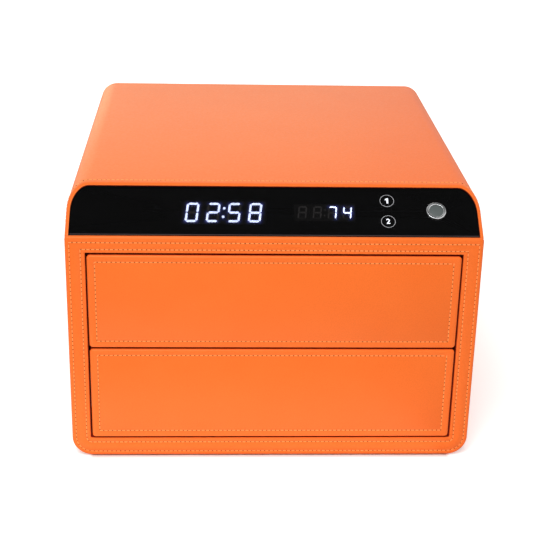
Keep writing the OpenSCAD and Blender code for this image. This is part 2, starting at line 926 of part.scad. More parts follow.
module lock_pinion() {
  translate([x_pinion, y_pinion, bolt_offset]) {
    translate([0, 0, -pinion_h / 2])
      linear_extrude(pinion_h)
        polygon(pinion_outline());
    translate([0, 0, -case_half - case_t])
      cylinder(d = shaft_d, h = 2 * (case_half + case_t) + 6, $fn = 48);
  }
}

module upper_lock_pinion() {
  color("#b08d3c")
    lock_at(true)
      lock_pinion();
}

module lower_lock_pinion() {
  color("#b08d3c")
    lock_at(false)
      lock_pinion();
}

// Rack teeth with a space facing the pinion tooth
rack_pitch = PI * rack_module;
function rack_half(d) = rack_pitch / 4 - backlash / 4 - d * tan(pressure_angle);
module rack_tooth(x) {
  deep = -1.25 * rack_module - 0.2;
  tip = rack_module * 0.9;
  translate([x, y_pitch, bolt_offset - pinion_h / 2])
    linear_extrude(pinion_h)
      polygon([
        [-rack_half(deep), deep], [rack_half(deep), deep], [rack_half(tip), tip], [-rack_half(tip), tip]]);
}

// Bolt with its rack, and the lug for the override cam welded under it
module lock_bolt() {
  block([bolt_tip, y_bolt0, bolt_offset - bolt_h / 2], [bolt_tail, y_bolt1, bolt_offset + bolt_h / 2]);
  block([lug_x, lug_y0, lug_z], [lug_x + lug_w, lug_y1, bolt_offset - bolt_h / 2 - seam]);
  for (i = [-3:floor(bolt_travel / rack_pitch) + 2])
    rack_tooth(x_pinion + (i + 0.5) * rack_pitch);
}

module upper_lock_bolt() {
  color("#d5d8dc")
    lock_at(true)
      lock_bolt();
}

module lower_lock_bolt() {
  color("#d5d8dc")
    lock_at(false)
      lock_bolt();
}

// Key cylinder in the rear board
module override_cylinder() {
  color("#c9ccd0")
    difference() {
      union() {
        rod_y(0, z_key, key_body_d / 2, y_key_body, y_back - leather_t);
        rod_y(0, z_key, key_flange_d / 2, y_back - leather_t, y_back);
      }
      rod_y(0, z_key, key_plug_d / 2 + shaft_gap, y_key_body - 1, y_back + 1);
    }
}

// Turning plug with its keyway and tail
module override_plug() {
  color("#b08d3c")
    difference() {
      union() {
        rod_y(0, z_key, key_plug_d / 2, y_key_body - 1.5, y_back - 0.3);
        rod_y(0, z_key, cam_bore / 2, y_cam - 1, y_key_body);
        rod_y(0, z_key, cam_bore / 2 + 1.4, y_cam - 2.5, y_cam);
      }
      block([-0.9, y_back - 14, z_key - 3.6], [0.9, y_back + 1, z_key + 3.6]);
    }
}

// Two-armed cam on the tail of the plug
module override_cam() {
  color("#a9adb2")
    difference() {
      union() {
        block([-cam_reach, y_cam, z_key - 3], [cam_reach, y_cam + cam_t, z_key + 3]);
        rod_y(0, z_key, lug_z - 0.3, y_cam, y_cam + cam_t);
      }
      rod_y(0, z_key, cam_bore / 2 + 0.02, y_cam - 1, y_cam + cam_t + 1);
    }
}

// Ejectors

function upper_eject_z() = upper_tray_z + upper_tray_h / 2;
function lower_eject_z() = lower_tray_z + lower_tray_h / 2;

module ejector_pins() {
  color("#c9ccd0") {
    rod_y(-ejector_x, upper_eject_z(), ejector_pin_d / 2, y_rear - rear_bay * 0.6, y_rear);
    rod_y(ejector_x, lower_eject_z(), ejector_pin_d / 2, y_rear - rear_bay * 0.6, y_rear);
  }
}

// Coil spring as a swept ring of points
spring_turns = 7;
spring_steps = 14;
spring_ring = 6;
module coil(length) {
  n = spring_turns * spring_steps;
  r = ejector_spring_d / 2;
  w = ejector_wire / 2;
  pts = [
    for (i = [0:n], j = [0:spring_ring - 1])
      let (a = 360 * i / spring_steps)
      let (b = 360 * j / spring_ring)
      [(r + w * cos(b)) * cos(a), (r + w * cos(b)) * sin(a), w + (length - 2 * w) * i / n + w * sin(b)]];
  sides = [
    for (i = [0:n - 1], j = [0:spring_ring - 1], t = [0, 1])
      let (k = (j + 1) % spring_ring)
      t == 0
        ? [i * spring_ring + j, (i + 1) * spring_ring + k, i * spring_ring + k]
        : [i * spring_ring + j, (i + 1) * spring_ring + j, (i + 1) * spring_ring + k]];
  ends = [
    [for (j = [0:spring_ring - 1]) j],
    [for (j = [spring_ring - 1:-1:0]) n * spring_ring + j]];
  polyhedron(points = pts, faces = concat(sides, ends));
}

module spring_at(x, z) {
  translate([x, y_rear, z])
    rotate([90, 0, 0])
      coil(rear_bay - 0.3);
}

module upper_ejector_spring() {
  color("#d5d8dc")
    spring_at(-ejector_x, upper_eject_z());
}

module lower_ejector_spring() {
  color("#d5d8dc")
    spring_at(ejector_x, lower_eject_z());
}

// Fasteners

// Pan-head screws that hold both lock cases on the rear plate
module lock_screws() {
  color("#6d7075")
    for (u = [true, false])
      lock_at(u)
        for (x = lock_screw_places()) {
          rod_y(x, lock_screw_z(), 2.8, y_rear - case_t - 1.8, y_rear - case_t);
          rod_y(x, lock_screw_z(), 1.5, y_rear - case_t - 1, y_rear);
        }
}

// Screws of the rear board, heads below the rear rim
module back_cover_screws() {
  color("#6d7075")
    for (p = cover_screw_places()) {
      rod_y(p[0], p[1], 2, y_cover, y_back - leather_t);
      rod_y(p[0], p[1], 3.6, y_back - leather_t, y_back - 0.1);
    }
}

// Screws from inside the tray into the drawer front
module front_screws(tray_z, tray_h) {
  for (x = [-1, 1], z = [0.3, 0.7])
    rod_y(x * x_tray * 0.6, tray_z + tray_h * z, 1.9, y_tray - front_screw_depth, y_tray + tray_t);
}

module drawer_front_screws_upper() {
  color("#6d7075")
    front_screws(upper_tray_z, upper_tray_h);
}

module drawer_front_screws_lower() {
  color("#6d7075")
    front_screws(lower_tray_z, lower_tray_h);
}

// Telescopic runners

// Folded channel along Y, its web at x0, its lips pointing inwards
module channel(x0, depth, h, z, y0, y1) {
  along_y(y0, y1)
    polygon([
      [x0, z - h / 2], [x0, z + h / 2], [x0 - depth, z + h / 2], [x0 - depth, z + h / 2 - rail_t],
      [x0 - rail_t, z + h / 2 - rail_t], [x0 - rail_t, z - h / 2 + rail_t],
      [x0 - depth, z - h / 2 + rail_t], [x0 - depth, z - h / 2]]);
}

module both_sides() {
  children();
  mirror([1, 0, 0])
    children();
}

step_in = rail_t + rail_gap;

module outer_rails(z) {
  both_sides()
    channel(x_web, rail_w - 2.2, rail_h, z, y_rail, y_rail + rail_len);
}

module middle_rails(z) {
  both_sides()
    channel(x_web - step_in, rail_w - step_in - 0.6, rail_h - 2 * step_in, z, y_rail, y_rail + rail_len);
}

// Inner members turn their lips outwards and sit on the tray
module inner_rails(z) {
  depth = rail_w - 2 * step_in;
  both_sides()
    translate([2 * x_tray, 0, 0])
      mirror([1, 0, 0])
        channel(x_tray, depth, rail_h - 4 * step_in, z, y_rail, y_rail + rail_len);
}

module upper_outer_rails() {
  color("#b9bdc2")
    outer_rails(upper_eject_z());
}

module lower_outer_rails() {
  color("#b9bdc2")
    outer_rails(lower_eject_z());
}

module upper_middle_rails() {
  color("#a7abb0")
    middle_rails(upper_eject_z());
}

module lower_middle_rails() {
  color("#a7abb0")
    middle_rails(lower_eject_z());
}

module upper_inner_rails() {
  color("#b9bdc2")
    inner_rails(upper_eject_z());
}

module lower_inner_rails() {
  color("#b9bdc2")
    inner_rails(lower_eject_z());
}

// Drawers

// Leather-wrapped front board, drilled for its screws
module drawer_front(z, h, tray_z, tray_h) {
  difference() {
    along_y(y_face, y_tray)
      polygon(soft_rect(-front_half, z, front_half, z + h, front_r, front_r));
    for (x = [-1, 1], q = [0.3, 0.7])
      rod_y(x * x_tray * 0.6, tray_z + tray_h * q, 1.95, y_tray - front_screw_depth, y_tray + 1);
  }
}

module upper_drawer_front() {
  color("#fd7636")
    drawer_front(z_upper, upper_front_h, upper_tray_z, upper_tray_h);
}

module lower_drawer_front() {
  color("#fd7636")
    drawer_front(z_lower, lower_front_h, lower_tray_z, lower_tray_h);
}

// Open box behind the front
module drawer_tray(z, h) {
  difference() {
    block([-x_tray, y_tray, z], [x_tray, y_tray_back, z + h]);
    block(
      [-x_tray + tray_t, y_tray + tray_t, z + tray_floor],
      [x_tray - tray_t, y_tray_back - tray_t, z + h + 1]);
    for (x = [-1, 1], q = [0.3, 0.7])
      rod_y(x * x_tray * 0.6, z + h * q, 1.95, y_tray - 1, y_tray + tray_t + 1);
  }
}

module upper_drawer_tray() {
  color("#2a2320")
    drawer_tray(upper_tray_z, upper_tray_h);
}

module lower_drawer_tray() {
  color("#2a2320")
    drawer_tray(lower_tray_z, lower_tray_h);
}

// Inner faces of the lining
lin_half = x_tray - tray_t - lining_gap;
lin_y0 = y_tray + tray_t + lining_gap;
lin_y1 = y_tray_back - tray_t - lining_gap;

// Soft boards glued into the tray: floor pad, four walls, one long divider and short ones before it
module drawer_lining(tray_z, tray_h, divider, cells) {
  z0 = tray_z + tray_floor;
  z1 = tray_z + tray_h - 2;
  zw = z0 + lining_t + seam;
  w = (2 * lin_half - lining_t * (cells + 1)) / cells;
  block([-lin_half, lin_y0, z0], [lin_half, lin_y1, z0 + lining_t]);
  both_sides()
    block([lin_half - lining_t, lin_y0, zw], [lin_half, lin_y1, z1]);
  for (y = [lin_y0, lin_y0 + divider, lin_y1 - lining_t])
    block([-lin_half + lining_t + seam, y, zw], [lin_half - lining_t - seam, y + lining_t, z1]);
  for (i = [1:cells - 1])
    translate([-lin_half + i * (w + lining_t), 0, 0])
      block([0, lin_y0 + lining_t + seam, zw], [lining_t, lin_y0 + divider - seam, z1]);
}

module upper_drawer_lining() {
  color("#cdb79b")
    drawer_lining(upper_tray_z, upper_tray_h, upper_divider_y, 4);
}

module lower_drawer_lining() {
  color("#cdb79b")
    drawer_lining(lower_tray_z, lower_tray_h, lower_divider_y, 2);
}

// Steel eye on the tray's rear wall that takes the bolt, welded from flat bars
keeper_gap = 0.8;
module keeper() {
  z0 = bolt_offset - bolt_h / 2 - keeper_gap;
  z1 = bolt_offset + bolt_h / 2 + keeper_gap;
  y_eye = y_tray_back + 2 + seam;
  block([ear_x0 - 13, y_tray_back, z0 - 2.4], [ear_x1, y_tray_back + 2, z1 + 2.4]);
  block([ear_x0, y_eye, z1], [ear_x1, y_bolt1 + 3, z1 + 2.4]);
  block([ear_x0, y_eye, z0 - 2.4], [ear_x1, y_bolt1 + 3, z0]);
  block([ear_x0, y_bolt1 + keeper_gap, z0 + seam], [ear_x1, y_bolt1 + 3, z1 - seam]);
}

module upper_keeper() {
  color("#c9ccd0")
    lock_at(true)
      keeper();
}

module lower_keeper() {
  color("#c9ccd0")
    lock_at(false)
      keeper();
}

leather_wrap();
steel_body();
rear_plate();
back_cover();
front_plate();
front_frame();
partition_plate();
left_runner_bracket();
right_runner_bracket();
rubber_feet();
glass_panel();
panel_carrier();
clock_display();
climate_display();
clock_segments();
climate_segments();
touch_board();
touch_pads();
fingerprint_bezel();
fingerprint_sensor();
fingerprint_nut();
main_board();
board_standoffs();
battery_box();
battery_cells();
battery_cover();
dc_inlet();
upper_lock_case();
lower_lock_case();
upper_lock_motor();
lower_lock_motor();
upper_lock_pinion();
lower_lock_pinion();
upper_lock_bolt();
lower_lock_bolt();
override_cylinder();
override_plug();
override_cam();
upper_ejector_spring();
lower_ejector_spring();
ejector_pins();
lock_screws();
back_cover_screws();
upper_outer_rails();
lower_outer_rails();
upper_middle_rails();
lower_middle_rails();
upper_inner_rails();
lower_inner_rails();
upper_drawer_front();
lower_drawer_front();
upper_drawer_tray();
lower_drawer_tray();
upper_drawer_lining();
lower_drawer_lining();
upper_keeper();
lower_keeper();
drawer_front_screws_upper();
drawer_front_screws_lower();
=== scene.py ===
import math

import bmesh
import bpy
from mathutils import Matrix, Vector


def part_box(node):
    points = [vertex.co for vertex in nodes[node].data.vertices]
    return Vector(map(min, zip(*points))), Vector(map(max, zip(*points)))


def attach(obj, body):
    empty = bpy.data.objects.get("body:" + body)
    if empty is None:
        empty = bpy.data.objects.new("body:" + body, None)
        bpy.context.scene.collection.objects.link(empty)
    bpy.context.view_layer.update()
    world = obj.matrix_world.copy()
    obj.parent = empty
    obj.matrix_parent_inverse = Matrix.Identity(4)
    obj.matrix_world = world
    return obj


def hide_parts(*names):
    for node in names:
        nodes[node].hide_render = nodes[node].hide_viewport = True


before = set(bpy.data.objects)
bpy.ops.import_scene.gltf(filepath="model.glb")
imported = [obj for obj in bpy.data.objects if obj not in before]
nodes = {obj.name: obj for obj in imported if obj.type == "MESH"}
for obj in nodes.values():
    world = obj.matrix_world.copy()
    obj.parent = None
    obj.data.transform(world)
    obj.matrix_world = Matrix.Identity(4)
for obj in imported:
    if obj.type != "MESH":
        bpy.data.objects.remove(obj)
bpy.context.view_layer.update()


# ---------------------------------------------------------------- camera
# A long lens a little left of the middle and above the box, as a catalogue
# shot is taken: place, turn, tilt and roll come from the box's own edges.
MM = 0.001
CAMERA_PLACE = (-51.03, -1201.63, 586.72)
CAMERA_TURN, CAMERA_TILT, CAMERA_ROLL = (math.radians(a) for a in (2.9029, 22.2818, 1.3526))
LENS_PIXELS, FRAME_PIXELS, SENSOR, FAR = 1295.58, 550, 36.0, 20.0
scene = bpy.context.scene


def new_object(name, data):
    """A new object, linked to the scene."""
    made = bpy.data.objects.new(name, data)
    scene.collection.objects.link(made)
    return made


ahead = Vector((
    math.sin(CAMERA_TURN) * math.cos(CAMERA_TILT),
    math.cos(CAMERA_TURN) * math.cos(CAMERA_TILT),
    -math.sin(CAMERA_TILT)))
level = Vector((math.cos(CAMERA_TURN), -math.sin(CAMERA_TURN), 0))
upright = level.cross(ahead)
across = level * math.cos(CAMERA_ROLL) + upright * math.sin(CAMERA_ROLL)
upright = upright * math.cos(CAMERA_ROLL) - level * math.sin(CAMERA_ROLL)
camera_data = bpy.data.cameras.new("camera")
camera_data.sensor_width = SENSOR
camera_data.lens = SENSOR * LENS_PIXELS / FRAME_PIXELS
camera_data.clip_end = FAR
scene.camera = new_object("camera", camera_data)
scene.camera.matrix_world = (
    Matrix.Translation(Vector(CAMERA_PLACE) * MM)
    @ Matrix((across, upright, -ahead)).transposed().to_4x4())


def linear(code):
    """An sRGB hex colour as linear red, green, blue and alpha."""
    parts = [int(code[i:i + 2], 16) / 255 for i in (1, 3, 5)]
    return [p / 12.92 if p <= 0.04045 else ((p + 0.055) / 1.055) ** 2.4 for p in parts] + [1]


def add(mat, kind, sets=(), wires=()):
    """Adds one node to a material: its properties or socket values, then its links."""
    made = mat.node_tree.nodes.new(kind)
    for key, value in dict(sets).items():
        if isinstance(key, str) and hasattr(made, key):
            setattr(made, key, value)
        else:
            made.inputs[key].default_value = value
    for key, source in dict(wires).items():
        mat.node_tree.links.new(source, made.inputs[key])
    return made


def material(name, sets):
    """A new material with its shader's constant values, and its object coordinates."""
    mat = bpy.data.materials.new(name)
    mat.use_nodes = True
    for key, value in sets.items():
        mat.node_tree.nodes["Principled BSDF"].inputs[key].default_value = value
    return mat, add(mat, "ShaderNodeTexCoord").outputs["Object"]


def feed(mat, socket, source):
    """Links a value to a socket of the material's shader."""
    mat.node_tree.links.new(source, mat.node_tree.nodes["Principled BSDF"].inputs[socket])


def noise(mat, place, lump, detail, **sets):
    """Noise from 0 to 1 with lumps of a size in millimetres."""
    sets.update({"Scale": 1 / (lump * MM), "Detail": detail})
    return add(mat, "ShaderNodeTexNoise", sets, {"Vector": place}).outputs["Fac"]


def ranged(mat, value, low, high, start=0.0, end=1.0):
    """A value that goes from low to high while the given one goes from start to end."""
    return add(mat, "ShaderNodeMapRange", {1: start, 2: end, 3: low, 4: high}, {0: value}).outputs[0]


def blend(mat, part, *colours):
    """A colour between two others, each a hex code or the socket of a colour."""
    mixed = add(mat, "ShaderNodeMix", {"data_type": "RGBA"}, {0: part})
    for socket, colour in zip(mixed.inputs[6:8], colours):
        if isinstance(colour, str):
            socket.default_value = linear(colour)
        else:
            mat.node_tree.links.new(colour, socket)
    return mixed.outputs[2]


def cloud(mat, place, lump, detail, *colours):
    """Colours a finish with noise between two colours, and returns the noise."""
    part = noise(mat, place, lump, detail)
    feed(mat, "Base Color", blend(mat, part, *colours))
    return part


def emboss(mat, height, strength, deep):
    """Gives a finish a relief so many millimetres deep."""
    bump = add(mat, "ShaderNodeBump", {"Strength": strength, "Distance": deep * MM}, {"Height": height})
    feed(mat, "Normal", bump.outputs["Normal"])


def dress(mat, *names):
    """Gives CAD nodes their finish."""
    for name in names:
        for slot in nodes[name].material_slots:
            slot.material = mat


# Powder coat: satin, with the shallow orange peel of a baked powder, 1.4 mm waves.
powder_coat, place = material("powder_coat_grey", {"Roughness": 0.5, "IOR": 1.5})
cloud(powder_coat, place, 40, 3.0, "#5d6065", "#6f7277")
emboss(powder_coat, noise(powder_coat, place, 1.4, 2.0), 0.25, 0.05)
dress(powder_coat, "steel_body", "rear_plate", "front_plate", "partition_plate",
      "left_runner_bracket", "right_runner_bracket")


# ---------------------------------------------------------------- leather case
# Skin of orange coated leather glued round the tube and turned over its edge
# at the sloped front and at the rear. A row of stitches holds the front turn.
HALF_W, LOW, HIGH, REAR = 175, 1.0, 239.8, 197.5
LONG_EDGE_R, SKIN, RIM, RIM_SOFT, RIM_TURN = 17.5, 0.9, 3.1, 2.0, 3.4
PLATE_Y, SLOPE_Z, SLOPE = -193.0, 207.5, math.radians(37)
SLOPE_LONG = (HIGH - SLOPE_Z) / math.sin(SLOPE)
NEAR, WELD, TOUCHING = 0.1, 0.001, 1e-6  # tolerances: two in millimetres, the last in metres
FLAT_MERGE, ROUND_MERGE = 0.02, 0.001  # angles below which CAD facets are one face
on_slope = Matrix.Translation(Vector((0, PLATE_Y, SLOPE_Z)) * MM) @ Matrix.Rotation(SLOPE, 4, "X")
to_slope = on_slope.inverted()
slope_out = on_slope.to_3x3() @ Vector((0, 0, 1))


def alone(piece):
    """Makes a piece the only selected one, and the active one."""
    bpy.ops.object.select_all(action="DESELECT")
    piece.select_set(True)
    bpy.context.view_layer.objects.active = piece


def settle():
    """Applies the place, turn and scale of what is selected to its mesh."""
    bpy.ops.object.transform_apply(location=True, rotation=True, scale=True)


def new_box(name, low, high):
    """A cube between two corners in millimetres, alone in the selection."""
    low, high = Vector(low) * MM, Vector(high) * MM
    bpy.ops.mesh.primitive_cube_add(size=1, location=(low + high) / 2, scale=high - low)
    settle()
    bpy.context.object.name = name
    return bpy.context.object


def copy_node(name, node, angle=FLAT_MERGE):
    """A merged copy of a CAD node's mesh, to be softened as a piece of its own."""
    piece = new_object(name, nodes[node].data.copy())
    alone(piece)
    bpy.ops.object.mode_set(mode="EDIT")
    bpy.ops.mesh.select_all(action="SELECT")
    bpy.ops.mesh.remove_doubles(threshold=WELD * MM)
    bpy.ops.mesh.dissolve_limited(angle_limit=angle)
    bpy.ops.object.mode_set(mode="OBJECT")
    return piece


def pick(piece, kind, test):
    """In edit mode, selects only the vertices, edges or faces that pass the test."""
    bpy.ops.mesh.select_mode(type=kind)
    bpy.ops.mesh.select_all(action="DESELECT")
    mesh = bmesh.from_edit_mesh(piece.data)
    for item in {"VERT": mesh.verts, "EDGE": mesh.edges, "FACE": mesh.faces}[kind]:
        if test(item):
            item.select_set(True)
    mesh.select_flush_mode()
    bmesh.update_edit_mesh(piece.data)


def runs_along(edge, axis):
    """True if an edge is parallel to an axis: 0, 1 or 2."""
    step = (edge.verts[1].co - edge.verts[0].co).normalized()
    return abs(step[axis]) > 0.999


def round_edges(radius, steps):
    """Rounds the edges that are selected in edit mode."""
    bpy.ops.mesh.bevel(offset=radius * MM, segments=steps, affect="EDGES")


def modify(piece, kind, **settings):
    """Adds one modifier and applies it."""
    alone(piece)
    modifier = piece.modifiers.new(kind.lower(), kind)
    for key, value in settings.items():
        setattr(modifier, key, value)
    bpy.ops.object.modifier_apply(modifier=modifier.name)


def soften(piece, width, steps, sharper_than):
    """Rounds all edges of a piece that are sharper than an angle in degrees."""
    modify(piece, "BEVEL", width=width * MM, segments=steps, limit_method="ANGLE",
           angle_limit=math.radians(sharper_than))


def smooth(piece, degrees=35):
    """Shades a piece smooth, but for edges sharper than an angle."""
    alone(piece)
    bpy.ops.object.shade_smooth_by_angle(angle=math.radians(degrees))


def hand_over(piece, mat, body, slot, *replaced):
    """Finishes a piece: material, body and the CAD nodes it stands for; its slot is not used."""
    if mat is not None:
        piece.data.materials.clear()
        piece.data.materials.append(mat)
    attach(piece, body)
    if replaced:
        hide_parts(*replaced)


# Coated leather: a satin film over a fine pebble grain. The real grain is about
# half a millimetre; it is drawn at 1 mm so that it still shows in the picture.
leather, place = material("orange_coated_leather", {"IOR": 1.46, "Specular Tint": linear("#fffac6")})
voronoi = {"feature": "SMOOTH_F1", "Scale": 1 / (1.0 * MM), "Smoothness": 0.6}
grain = add(leather, "ShaderNodeTexVoronoi", voronoi, {"Vector": place}).outputs["Distance"]
crease = noise(leather, place, 2.6, 4.0, Roughness=0.6)
hide = blend(leather, noise(leather, place, 45, 3.0), "#f66c20", "#fb7328")
# The grain's low valleys are coloured darker: painted shade in the hollows of the grain.
painted_valley_shade = ranged(leather, grain, 0.0, 0.22, 0.25, 0.75)
feed(leather, "Base Color", blend(leather, painted_valley_shade, hide, "#de5a14"))
feed(leather, "Roughness", ranged(leather, crease, 0.42, 0.52, 0.3, 0.7))
pebble = add(leather, "ShaderNodeBump", {"Strength": 0.22, "Distance": 0.12 * MM, "invert": True},
             {"Height": grain})
creased = add(leather, "ShaderNodeBump", {"Strength": 0.15, "Distance": 0.2 * MM},
              {"Height": crease, "Normal": pebble.outputs["Normal"]})
feed(leather, "Normal", creased.outputs["Normal"])

# Painted shade: faces that stand in the gaps and the rim's inner wall are coloured dark red for the shade
# that falls there, with 2 mm clouds in the colour.
gap_shade_leather, place = material("gap_painted_shade_leather", {"Roughness": 0.65, "IOR": 1.46})
cloud(gap_shade_leather, place, 2, 3.0, "#8a1204", "#a01a08")


def paint_gap_shade(piece, test, square_to=Vector((0, 1, 0))):
    """Paints shade: colours dark red the faces that stand square to a face's direction and whose middle
    passes the test.
    """
    for mat in (leather, gap_shade_leather):
        piece.data.materials.append(mat)
    for face in piece.data.polygons:
        square = abs(face.normal.dot(square_to)) < 0.1
        face.material_index = 1 if square and test(face.center / MM) else 0


def in_rim(point):
    """True on the wall of the rim round the glass, below its roll."""
    at = to_slope @ (point * MM) / MM
    within = 0 < at.y < SLOPE_LONG - RIM + NEAR and abs(at.x) < HALF_W - RIM + NEAR
    return within and -RIM_TURN < at.z < -NEAR


case = new_box("case_leather", (-HALF_W, PLATE_Y, LOW), (HALF_W, REAR, HIGH))
bpy.ops.object.mode_set(mode="EDIT")
pick(case, "EDGE", lambda e: runs_along(e, 1))
round_edges(LONG_EDGE_R, 16)
bpy.ops.mesh.select_all(action="SELECT")
bpy.ops.mesh.bisect(
    plane_co=(0, PLATE_Y * MM, SLOPE_Z * MM), plane_no=(0, -math.sin(SLOPE), math.cos(SLOPE)),
    use_fill=True, clear_outer=True)
for is_end in (lambda f: f.normal.y < -0.4 and len(f.verts) > 4, lambda f: f.normal.y > 0.9):
    pick(case, "FACE", is_end)
    bpy.ops.mesh.inset(thickness=RIM * MM, use_even_offset=True)
    bpy.ops.mesh.delete(type="FACE")
bpy.ops.object.mode_set(mode="OBJECT")
soften(case, RIM_SOFT, 4, 25)
bpy.ops.object.mode_set(mode="EDIT")
pick(case, "EDGE", lambda e: e.is_boundary and e.verts[0].co.y < 0
     and all(v.co.z > (SLOPE_Z - NEAR) * MM for v in e.verts))
bpy.ops.mesh.extrude_edges_move(TRANSFORM_OT_translate={"value": slope_out * -RIM_TURN * MM})
bpy.ops.object.mode_set(mode="OBJECT")
modify(case, "SOLIDIFY", thickness=SKIN * MM, offset=-1.0)
smooth(case)
# The rim's wall below its roll is coloured dark red: painted shade round the glass.
paint_gap_shade(case, in_rim, slope_out)
hand_over(case, None, "cabinet", "leather", "leather_wrap")

# One stitch: a short bed of twisted thread that dives into the leather at both
# ends, with the needle hole between it and the next one, coloured dark as painted shade.
STITCH_PITCH, STITCH_LONG, STITCH_WIDE, STITCH_LOW, STITCH_TOP = 3.86, 2.7, 0.85, -0.25, 0.35
STITCH_SOFT, END_INSET, END_DIVE, END_LEAN, END_UPPER = 0.24, 0.08, 0.2, 0.5, 0.2
HOLE_R, HOLE_DEEP, HOLE_AT, HOLE_RIM, HOLE_SUNK = 0.5, 0.3, -0.1, 0.12, 0.15
# Bonded thread: its plies show as slanting bands, 1.1 mm apart.
thread, place = material("bonded_polyester_thread", {"Roughness": 0.7, "IOR": 1.5})
bands = {"bands_direction": "DIAGONAL", "Scale": 1 / (1.1 * MM), "Distortion": 0.4}
twist = add(thread, "ShaderNodeTexWave", bands, {"Vector": place}).outputs["Fac"]
feed(thread, "Base Color", blend(thread, twist, "#ff8e3e", "#ffac62"))
emboss(thread, twist, 0.4, 0.08)

# Needle hole: darker than the coated face round it, painted shade in the hole.
needle_hole_shade, place = material("needle_hole_painted_shade", {"Roughness": 0.8, "IOR": 1.46})
cloud(needle_hole_shade, place, 0.5, 2.0, "#8a3408", "#a84410")


def merge(pieces):
    """Joins pieces into the first of them."""
    alone(pieces[0])
    for piece in pieces[1:]:
        piece.select_set(True)
    bpy.ops.object.join()
    settle()


stitch = new_box("stitch", (-STITCH_LONG / 2, -STITCH_WIDE / 2, STITCH_LOW),
                 (STITCH_LONG / 2, STITCH_WIDE / 2, STITCH_TOP))
bpy.ops.object.mode_set(mode="EDIT")
for side in (-1, 1):
    pick(stitch, "FACE", lambda f: f.normal.x * side > 0.9)
    bpy.ops.mesh.inset(thickness=END_INSET * MM)
    bpy.ops.transform.translate(value=(0, 0, -END_DIVE * MM))
    pick(stitch, "VERT", lambda v: v.co.x * side > STITCH_LONG / 2 * MM - TOUCHING
         and v.co.z > END_UPPER * MM)
    bpy.ops.transform.translate(value=(-END_LEAN * side * MM, 0, 0))
pick(stitch, "EDGE", lambda e: runs_along(e, 0) and e.verts[0].co.z > 0)
round_edges(STITCH_SOFT, 2)
bpy.ops.object.mode_set(mode="OBJECT")
smooth(stitch, 60)
stitch.data.materials.append(thread)
bpy.ops.mesh.primitive_cylinder_add(
    vertices=8, radius=HOLE_R * MM, depth=HOLE_DEEP * MM, location=(STITCH_PITCH / 2 * MM, 0, HOLE_AT * MM))
hole = bpy.context.object
settle()
bpy.ops.object.mode_set(mode="EDIT")
pick(hole, "FACE", lambda f: f.normal.z > 0.9)
bpy.ops.mesh.inset(thickness=HOLE_RIM * MM)
bpy.ops.transform.translate(value=(0, 0, -HOLE_SUNK * MM))
bpy.ops.object.mode_set(mode="OBJECT")
hole.data.materials.append(needle_hole_shade)
merge([stitch, hole])


def even_steps(points, pitch, closed):
    """Places at an even pitch along a chain of points, each with its direction."""
    chain = points + points[:1] if closed else points
    spans = [(b - a).length for a, b in zip(chain, chain[1:])]
    total = sum(spans)
    count = round(total / pitch)
    places, index, gone = [], 0, 0.0
    for k in range(count):
        want = (k + 0.5) * total / count
        while gone + spans[index] < want:
            gone += spans[index]
            index += 1
        a, b = chain[index], chain[index + 1]
        places.append((a.lerp(b, (want - gone) / spans[index]), (b - a).normalized()))
    return places


def quarter(cx, cz, r, start, steps=8):
    """Points of a quarter turn in the upright plane, counter-clockwise from start degrees."""
    angles = [math.radians(start + 90 * i / steps) for i in range(steps + 1)]
    return [Vector((cx + r * math.cos(a), 0, cz + r * math.sin(a))) for a in angles]


def sew(name, places, outward, body, broad=1.0):
    """Copies the stitch along a row, broader for thicker thread, and joins the copies."""
    copies = []
    for point, along in places:
        out = outward(point)
        turned = Matrix((along, out.cross(along), out)).transposed().to_4x4()
        copies.append(new_object(name, stitch.data.copy()))
        copies[-1].matrix_world = Matrix.Translation(point * MM) @ turned @ Matrix.Diagonal((1, broad, 1, 1))
    merge(copies)
    hand_over(copies[0], None, body, "leather")


def case_outward(point):
    """Direction out of the case's skin at a point of its outline."""
    inner_x = HALF_W - LONG_EDGE_R
    inner_z = max(LOW + LONG_EDGE_R, min(HIGH - LONG_EDGE_R, point.z))
    hub = Vector((max(-inner_x, min(inner_x, point.x)), 0, inner_z))
    return (Vector((point.x, 0, point.z)) - hub).normalized()


TURN_ROW, TURN_BROAD, ROW_START_Z = 6.2, 1.8, SLOPE_Z + 6
turn_row = (
    [Vector((HALF_W, 0, ROW_START_Z))]
    + quarter(HALF_W - LONG_EDGE_R, HIGH - LONG_EDGE_R, LONG_EDGE_R, 0)
    + quarter(LONG_EDGE_R - HALF_W, HIGH - LONG_EDGE_R, LONG_EDGE_R, 90)
    + [Vector((-HALF_W, 0, ROW_START_Z))])
for point in turn_row:
    point.y = PLATE_Y + (point.z - SLOPE_Z) / math.tan(SLOPE) + TURN_ROW
sew("case_stitches", even_steps(turn_row, STITCH_PITCH, False), case_outward, "cabinet", TURN_BROAD)


# ---------------------------------------------------------------- drawer frame
# Leather-covered flat frame glued on the front plate round both drawers, its
# outer edge rolled. Two rows of stitches run round it, each in a shallow groove.
FRAME_Y, OPEN_HALF, OPEN_LOW, OPEN_HIGH = -196.0, 158.7, 18.5, 193.0
FRAME_ROLL, INNER_SOFT, CORNER_R = 2.2, 1.0, 3.0
ARC_OUTSIDE, ARC_INSIDE = 1.0, 0.3  # how far a corner's arc reaches past its ends
BROAD_FACE = 0.03  # square metres: only the whole face of the frame is larger
GROOVE, GROOVE_DEEP, THREAD_SUNK = 1.05, 0.75, 0.45
# Each row's half width, lower and upper line, and lower and upper corner radius.
FRAME_ROWS = {
    "frame_stitches_outer": (171.4, 5.1, 202.1, 14.0, 1.0),
    "frame_stitches_inner": (162.2, 14.2, 196.0, 4.7, 1.0)}


